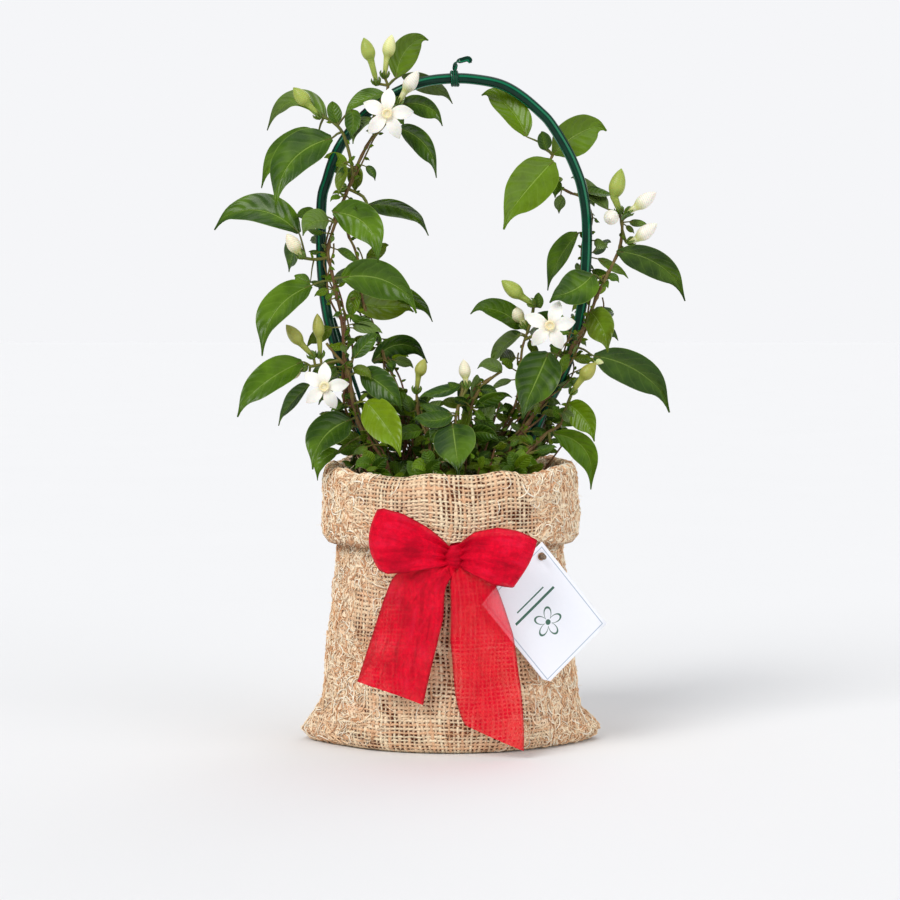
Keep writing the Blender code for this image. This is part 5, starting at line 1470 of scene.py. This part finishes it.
def buildSprays(leafMaterials):
    for name, plan in sprays.items():
        rng = random.Random(name)
        mould = Mould()
        foot, low, high, spots = plan["stem"]
        path = curveThrough(rooted(foot) + [seen(*spot) for spot in spots], 2.0)
        lines = [path]
        slim = foliage["slimStem"] if high > 1.0 else 1.0
        radii = []
        for t, spot in zip(shares(len(path)), path):
            lump = 1 + 0.3 * noise.noise(spot * 0.16)
            joint = 1 + 0.45 * max(0.0, math.cos(spot.z * 0.42 + foot[0])) ** 14
            radii.append(slim * (low + (high - low) * t) * lump * joint)
        mould.tube(path, radii, [stemTint(rng, t) for t in shares(len(path))], sides=9, finish=1)
        for spots in plan.get("twigs", ()):
            path = curveThrough([seen(*spot) for spot in spots], 2.5)
            lines.append(path)
            tints = [mixColour(stemTint(rng, 0.9), leafColours["g"][0], 0.3 + 0.4 * i / len(path))
                     for i in range(len(path))]
            mould.tube(path, 1.0, tints, sides=7, finish=1)
        for order, row in enumerate(plan["leaves"]):
            addLeaf(mould, row, lines, order, rng)
        for xf, zf, xn, zn, xt, zt, radius, depth, kind in plan.get("buds", ()):
            foot = seen(xf, zf, depth)
            root = nearestOn(lines, foot)
            stalk = [root, (root + foot) / 2, foot]
            mould.tube(stalk, [0.9, 0.85, 0.9], stemColours["olive"], sides=6, finish=1)
            addBud(mould, foot, seen(xn, zn, depth), seen(xt, zt, depth), radius, kind)
        for line in lines:
            addBracts(mould, line, rng)
            if line[0].z < foliage["vinesFrom"] and line[-1].z > foliage["tallFrom"]:
                addSideLeaves(mould, line, rng, 30.0, (6.0, 14.0))
                addSideLeaves(mould, line, rng, 36.0, (14.0, 22.0), behind=0.6)
                for offset, reach in foliage["vines"][:foliage["vineCount"].get(name, 2)]:
                    reach = rng.uniform(*reach) if isinstance(reach, tuple) else reach
                    addVine(mould, line, rng, offset, reach)
        if name in foliage["lowGrowth"]:
            addUndergrowth(mould, foliage["lowGrowth"][name], name)
        mould.piece(name, leafMaterials, [nodeName(name)], sharp=55)


def buildPaleBuds(budMaterials):
    for name, (xf, zf, xn, zn, xt, zt, radius, near, far, kind) in paleBuds.items():
        mould = Mould()
        neck = seen(xn, zn, near + (far - near) * 0.25)
        addBud(mould, seen(xf, zf, near), neck, seen(xt, zt, far), radius, kind, finish=0, sides=16)
        mould.piece(name, budMaterials, [nodeName(name)])


def addPetal(mould, mouth, reach, degrees, order, lean):
    angle = math.radians(degrees)
    way = Vector((math.cos(angle), 0.0, math.sin(angle)))
    sideways = Vector((-math.sin(angle), 0.0, math.cos(angle)))
    start = mouth + Vector((0.0, 0.35 * (order % 3) - 0.2, 0.0)) + way * petal["fromMiddle"]
    span = way * (reach - petal["fromMiddle"]) + Vector((0.0, petal["backward"], 0.0))
    rows, uvs, tints = [], [], []
    for t in shares(15):
        half = reach * petal["width"] / 2 * float(np.interp(t, *zip(*petal["outline"])))
        middle = start + span * t - Vector((0.0, petal["bulge"] * math.sin(math.pi * t), 0.0))
        middle += sideways * lean * t * t
        upper, lower = [], []
        for s in sweep(9):
            lift = petal["cup"] * half * abs(s) ** 1.5 - petal["groove"] * (1 - abs(s)) ** 2
            lift += petal["twist"] * s * (1 - t)
            spot = middle + sideways * half * s + Vector((0.0, -lift, 0.0))
            skin = Vector((0.0, petal["thick"] * (1 - petal["thinEdge"] * s ** 6), 0.0))
            upper.append(spot - skin)
            lower.append(spot + skin)
        row, uvRow = closedRow(upper, lower, t)
        rows.append(row)
        uvs.append(uvRow)
        tints.append([mixColour(petal["base"], petal["white"], min(1.0, t * 3.2))])
    mould.add(rows, uvs, tints)


def buildBlooms(petalMaterials):
    for name, (centre, reach, foot, ways) in blooms.items():
        rng = random.Random(name)
        mould = Mould()
        mouth, back = seen(*centre), seen(*foot)
        path = curveThrough([back, back * 0.5 + mouth * 0.5, mouth + Vector((0, 1.0, 0))], 1.5)
        steps = shares(len(path))
        tints = [mixColour(budColours["cream"][0], petal["base"], t) for t in steps]
        mould.tube(path, [petal["tube"][0] + petal["tube"][1] * t ** 2 for t in steps], tints, sides=14)
        rows, tints = [], []
        across, up = Vector((1, 0, 0)), Vector((0, 0, 1))
        for radius, depth in petal["throatRing"]:
            rows.append(circle(mouth + Vector((0.0, depth, 0.0)), across, up, radius, 20))
            colour = mixColour(petal["base"], petal["throat"], within((3.3 - radius) / 0.9))
            tints.append([mixColour(colour, petal["deepThroat"], within((1.5 - radius) / 1.2) * 0.6)])
        mould.add(rows, (0.0, 0.0), tints)
        for order, degrees in enumerate(ways):
            addPetal(mould, mouth, reach, degrees, order, rng.uniform(-0.5, 0.5))
        mould.piece(name, petalMaterials, [nodeName(name)], sharp=60)


# ribbon

ribbon = {
    "knot": (2.6, 110.6, -76.9),
    "knotReach": 5.9,
    "knotFlat": 0.74,
    "knotHalf": 6.9,
    "step": 1.6,
    "across": 25,
    "pleatDepth": 2.1,
    "swellDepth": 0.9,
    "rippleDepth": 0.35,
    "selvedge": 0.97,  # from here out to 1 the cloth is selvedge
    # x, z, depth from the knot, width, slant of the width from upright
    "bowLeft": ((1, 110.5, 0, 10, 0), (-12, 114.9, -7, 24.5, 2), (-27, 118, -11, 36, 3),
                (-39, 119.4, -10, 40, 3), (-43.5, 120.2, -5, 36, 3), (-42, 120, 0.5, 38, 3),
                (-32, 119, 2.7, 34, 4), (-14, 115, 2.7, 22, 4), (1, 110.5, 1.5, 10, 0)),
    "bowRight": ((3, 110.5, 0, 10, 0), (14, 111.8, -7, 26, -2), (27, 110.4, -12, 35, -5),
                 (37, 108.7, -11, 35, -13), (45.6, 105.7, -6, 32, -26), (43, 107, 0.5, 31, -24),
                 (32, 109.5, 2.7, 28, -12), (16, 112, 2.7, 20, -3), (3, 110.5, 1.5, 10, 0)),
    "tailLeft": ((0, 107.5, 0, 9, 72), (-9, 102, -4, 22, 72), (-18.1, 94, -4, 32, 72),
                 (-22.2, 77.8, -1, 37.8, 72), (-31, 46.4, 5.5, 40.5, 71), (-36.1, 27.3, 9, 42.5, 69.6)),
    "tailRight": ((4, 107, 0, 9, 92), (13, 94, -3, 26, 97), (19, 62, 4, 38, 97),
                  (22.8, 30, 8, 40, 97), (27, -0.3, 9, 38.5, 66)),
    "fullWidth": 40.0,
    # part, pleats at the knot, seed, sheerness, how far the loop's end bows out
    "parts": (("bowLeft", 4.0, 3, 0.0, -4.2), ("bowRight", 4.0, 5, 0.0, 0.8), ("tailLeft", 3.0, 7, 0.04, 0.0),
              ("tailRight", 3.0, 9, 0.3, 0.0)),
}


def addStrip(mould, stations, pleats, seed, sheer, bulge):
    packed = [Vector(station[:3]) for station in stations]
    track = curveThrough(packed, ribbon["step"])
    marks = [0.0]
    for a, b in zip(packed, packed[1:]):
        marks.append(marks[-1] + max(1, round((b - a).length / ribbon["step"])))
    widths, slants = (np.interp(range(len(track)), marks, [row[at] for row in stations]) for at in (3, 4))
    centres = [seen(spot.x, spot.y, ribbon["knot"][2] + spot.z) for spot in track]
    phase = random.Random(seed).uniform(0, 6.28)
    farthest = max(abs(spot.x) for spot in track)
    rows, uvs, tints = [], [], []
    run = 0.0
    for i, (centre, along) in enumerate(zip(centres, directions(centres))):
        run += (centre - centres[i - 1]).length if i else 0.0
        slant = math.radians(slants[i])
        side = Vector((-math.sin(slant), 0.0, math.cos(slant)))
        out = along.cross(side).normalized()
        half = widths[i] / 2 * (studio["viewDistance"] + centre.y) / studio["viewDistance"]
        gathered = max(0.0, 1 - widths[i] / ribbon["fullWidth"])
        atEnd = max(0.0, abs(track[i].x) / farthest - 0.72) / 0.28
        pleatDepth = ribbon["pleatDepth"] * (1 - atEnd) * gathered ** 1.2
        line, uvLine, tintLine = [], [], []
        for s in sweep(ribbon["across"]):
            fold = pleatDepth * math.sin(pleats * math.pi * s + phase + 0.6 * math.sin(run * 0.09))
            fold += ribbon["swellDepth"] * (1 - gathered) * math.sin(2.2 * s + run * 0.075 + phase)
            ripple = math.sin(5.3 * s + 1.7 * math.sin(run * 0.11) + phase * 2)
            fold += ribbon["rippleDepth"] * (1 - atEnd) * ripple
            push = Vector((bulge * (1 - s * s) * atEnd, 0.0, 0.0))
            line.append(centre + side * half * s + out * fold + push)
            uvLine.append((run, ribbon["fullWidth"] * (s + 1) / 2))
            tintLine.append((sheer, 0, 0, 1.0 if abs(s) > ribbon["selvedge"] else 0.0))
        rows.append(line)
        uvs.append(uvLine)
        tints.append(tintLine)
    mould.add(rows, uvs, tints, closed=False)
    return run


def addKnot(mould):  # one turn of gathered ribbon round the middle
    heart = seen(*ribbon["knot"])
    rows, uvs = [], []
    for t in shares(33):
        turn = 2 * math.pi * t + 0.4
        line = []
        for s in sweep(17):
            reach = ribbon["knotReach"] * (1 - 0.45 * s * s)
            reach += 0.45 * math.sin(7 * s + 1.3 * math.sin(turn)) + 0.3 * math.sin(3 * turn + 2 * s)
            line.append(heart + Vector((reach * math.cos(turn) + 0.9 * s,
                                        reach * math.sin(turn) * ribbon["knotFlat"],
                                        ribbon["knotHalf"] * s + 0.9 * math.sin(turn + s))))
        rows.append(line)
        uvs.append([(turn * 7.5, ribbon["fullWidth"] * (s + 1) / 2) for s in sweep(17)])
    mould.add(rows, uvs, (0, 0, 0, 0.12), closed=False)
    return 2 * math.pi * ribbon["knotReach"]


def buildRibbon():
    materials = [makeRibbon()]
    mould = Mould()
    total = 0.0
    for part, *look in ribbon["parts"]:
        total += addStrip(mould, ribbon[part], *look)
    total += addKnot(mould)
    thing = mould.piece("ribbonBow", materials, ["ribbon_bow"], "cloth", sharp=0, orient=False)
    print("ribbon length in mm", round(total))
    return thing, total


# card

card = {
    "corner": Vector((53.0, -54.2, 124.3)),
    "lean": math.radians(24.0),
    "turn": math.radians(-49.5),
    "length": 65.5,
    "width": 51.5,
    "thickness": 0.8,
    "bow": 0.35,
    "holeIn": 6.0,
    "holeRadius": 1.7,
    "edgePoints": 96,
    "edgeRound": 0.18,
    # how far out the rings on the front and on the back lie, from the hole to the card's edge
    "frontRings": (0.0, 0.05, 0.12, 0.25, 0.45, 0.7, 0.9, 1.0),
    "backRings": (1.0, 0.6, 0.2, 0.0),
    # radius, and height over the paper
    "eyelet": ((0.9, -0.8), (1.5, -0.8), (1.55, 0.5), (2.2, 0.6), (2.35, 0.9), (2.0, 1.2), (1.5, 1.25),
               (1.05, 1.0), (0.9, 0.6), (0.9, -0.8)),
    "twineRoute": ((53.5, -44.8, 121.5), (53.6, -44.9, 128), (53.6, -45.1, 140)),
    "twineRadius": 0.6,
    "knotRadius": 1.65,
    "knotHalf": 1.5,
    "knotOut": 3.4,
}


def buildCard():
    cosine, sine = math.cos(card["lean"]), math.sin(card["lean"])
    level, up, facing = Vector((cosine, sine, 0.0)), Vector((0.0, 0.0, 1.0)), Vector((sine, -cosine, 0.0))
    longWay = level * math.cos(card["turn"]) + up * math.sin(card["turn"])
    shortWay = level * math.sin(card["turn"]) - up * math.cos(card["turn"])
    length, width, hole = card["length"], card["width"], card["holeIn"]

    def onCard(a, b, out):  # card paper is a little bowed
        bow = card["bow"] * math.sin(math.pi * a / length) * math.sin(math.pi * b / width)
        return card["corner"] + longWay * a + shortWay * b + facing * (out + bow)

    def edgeAt(angle, inset):  # from the middle of the hole to the card's edge
        ways = ((math.cos(angle), length), (math.sin(angle), width))
        return min((size - inset - hole if way > 0 else hole - inset) / abs(way) for way, size in ways)

    # rings from the hole out to the card's edge, then over the edge to the back
    half, rim = card["thickness"] / 2, card["edgeRound"]
    layers = [(share, half, rim) for share in card["frontRings"]]
    layers += [(1.0, half * 0.4, 0.0), (1.0, -half * 0.4, 0.0)]
    layers += [(share, -half, rim) for share in card["backRings"]]
    rows, uvs, tints = [], [], []
    for share, out, inset in layers + layers[:1]:
        spots = []
        for k in range(card["edgePoints"]):
            angle = 2 * math.pi * (k + 0.5) / card["edgePoints"]
            reach = card["holeRadius"] + (edgeAt(angle, inset) - card["holeRadius"]) * share
            spots.append((hole + reach * math.cos(angle), hole + reach * math.sin(angle)))
        rows.append([onCard(a, b, out) for a, b in spots])
        uvs.append(spots)
        tints.append([(1, 1, 1, 1.0 if out >= half else 0.0)])
    mould = Mould()
    mould.add(rows, uvs, tints, capped=False)
    mould.piece("hangCard", [makeCard(length, width)], ["card"], uvName="sheetMm", sharp=40)
    centre = onCard(hole, hole, 0.0)
    mould = Mould()
    rows = [circle(centre + facing * out, longWay, shortWay, radius, 32) for radius, out in card["eyelet"]]
    mould.add(rows, (0.0, 0.0), plain, capped=False)
    mould.piece("cardEyelet", [makeBrass()], ["card_eyelet"], sharp=60)
    knotAt = centre + facing * card["knotOut"]
    route = [knotAt, centre, centre - facing * 2.2] + [Vector(spot) for spot in card["twineRoute"]]
    mould = Mould()
    mould.tube(curveThrough(route, 0.9), card["twineRadius"], sides=10)
    steps = [card["knotHalf"] * s for s in sweep(9)]
    knot = [knotAt + facing * t + longWay * 0.2 * math.sin(3 * t) for t in steps]
    mould.tube(knot, [card["knotRadius"] * math.sqrt(max(0.03, 1 - (t / 1.6) ** 2)) for t in steps], sides=12)
    mould.piece("cardTwine", [makeTwineSkin()], ["card_twine"])


# floor and world

def buildFloor():
    half = studio["floorSize"] / 2
    mesh = bpy.data.meshes.new("floor")
    corners = [(-half, -half, 0), (half, -half, 0), (half, half, 0), (-half, half, 0)]
    mesh.from_pydata(corners, [], [(0, 1, 2, 3)])
    material, tree, shader = newMaterial("floorPaint", 0.95, Specular_IOR_Level=0.0)
    feed(shader.inputs["Base Color"], mottled(tree, (*studio["floorColour"], 1.0), 3.0, 0.01)[0])
    mesh.materials.append(material)
    floor = addObject("floor", mesh)


def buildWorld():
    world = bpy.data.worlds.new("studioAir")
    world.use_nodes = True
    rays = addNode(world.node_tree, "ShaderNodeLightPath", output="Is Camera Ray")
    colour = blendColour(rays, (*studio["ambient"], 1.0), (*studio["backdrop"], 1.0))
    feed(world.node_tree.nodes["Background"].inputs["Color"], colour)
    bpy.context.scene.world = world


print("studio: camera, floor, lights")
buildCamera()
buildLights()
buildFloor()
buildWorld()

print("sack: cloth and loose fibres")
grid = buildSack()
buildFibres(*grid)

print("hoop, wire and tie")
buildHoop()

print("foliage, buds and blooms")
leafMaterial, stemMaterial, budMaterial, petalMaterial = makeLeaf(), makeStem(), makeBudSkin(), makePetal()
buildSprays([leafMaterial, stemMaterial, budMaterial])
buildPaleBuds([budMaterial])
buildBlooms([petalMaterial])

print("ribbon and card")
bow, ribbonLength = buildRibbon()
ribbonLength * mm
buildCard()

print("pot and soil: finishes on the packed nodes")
for name, material in (("nursery_pot", makePlastic("potPlastic", potLook)), ("soil", makeSoil())):
    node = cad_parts[name]
    node.data.materials.clear()
    node.data.materials.append(material)
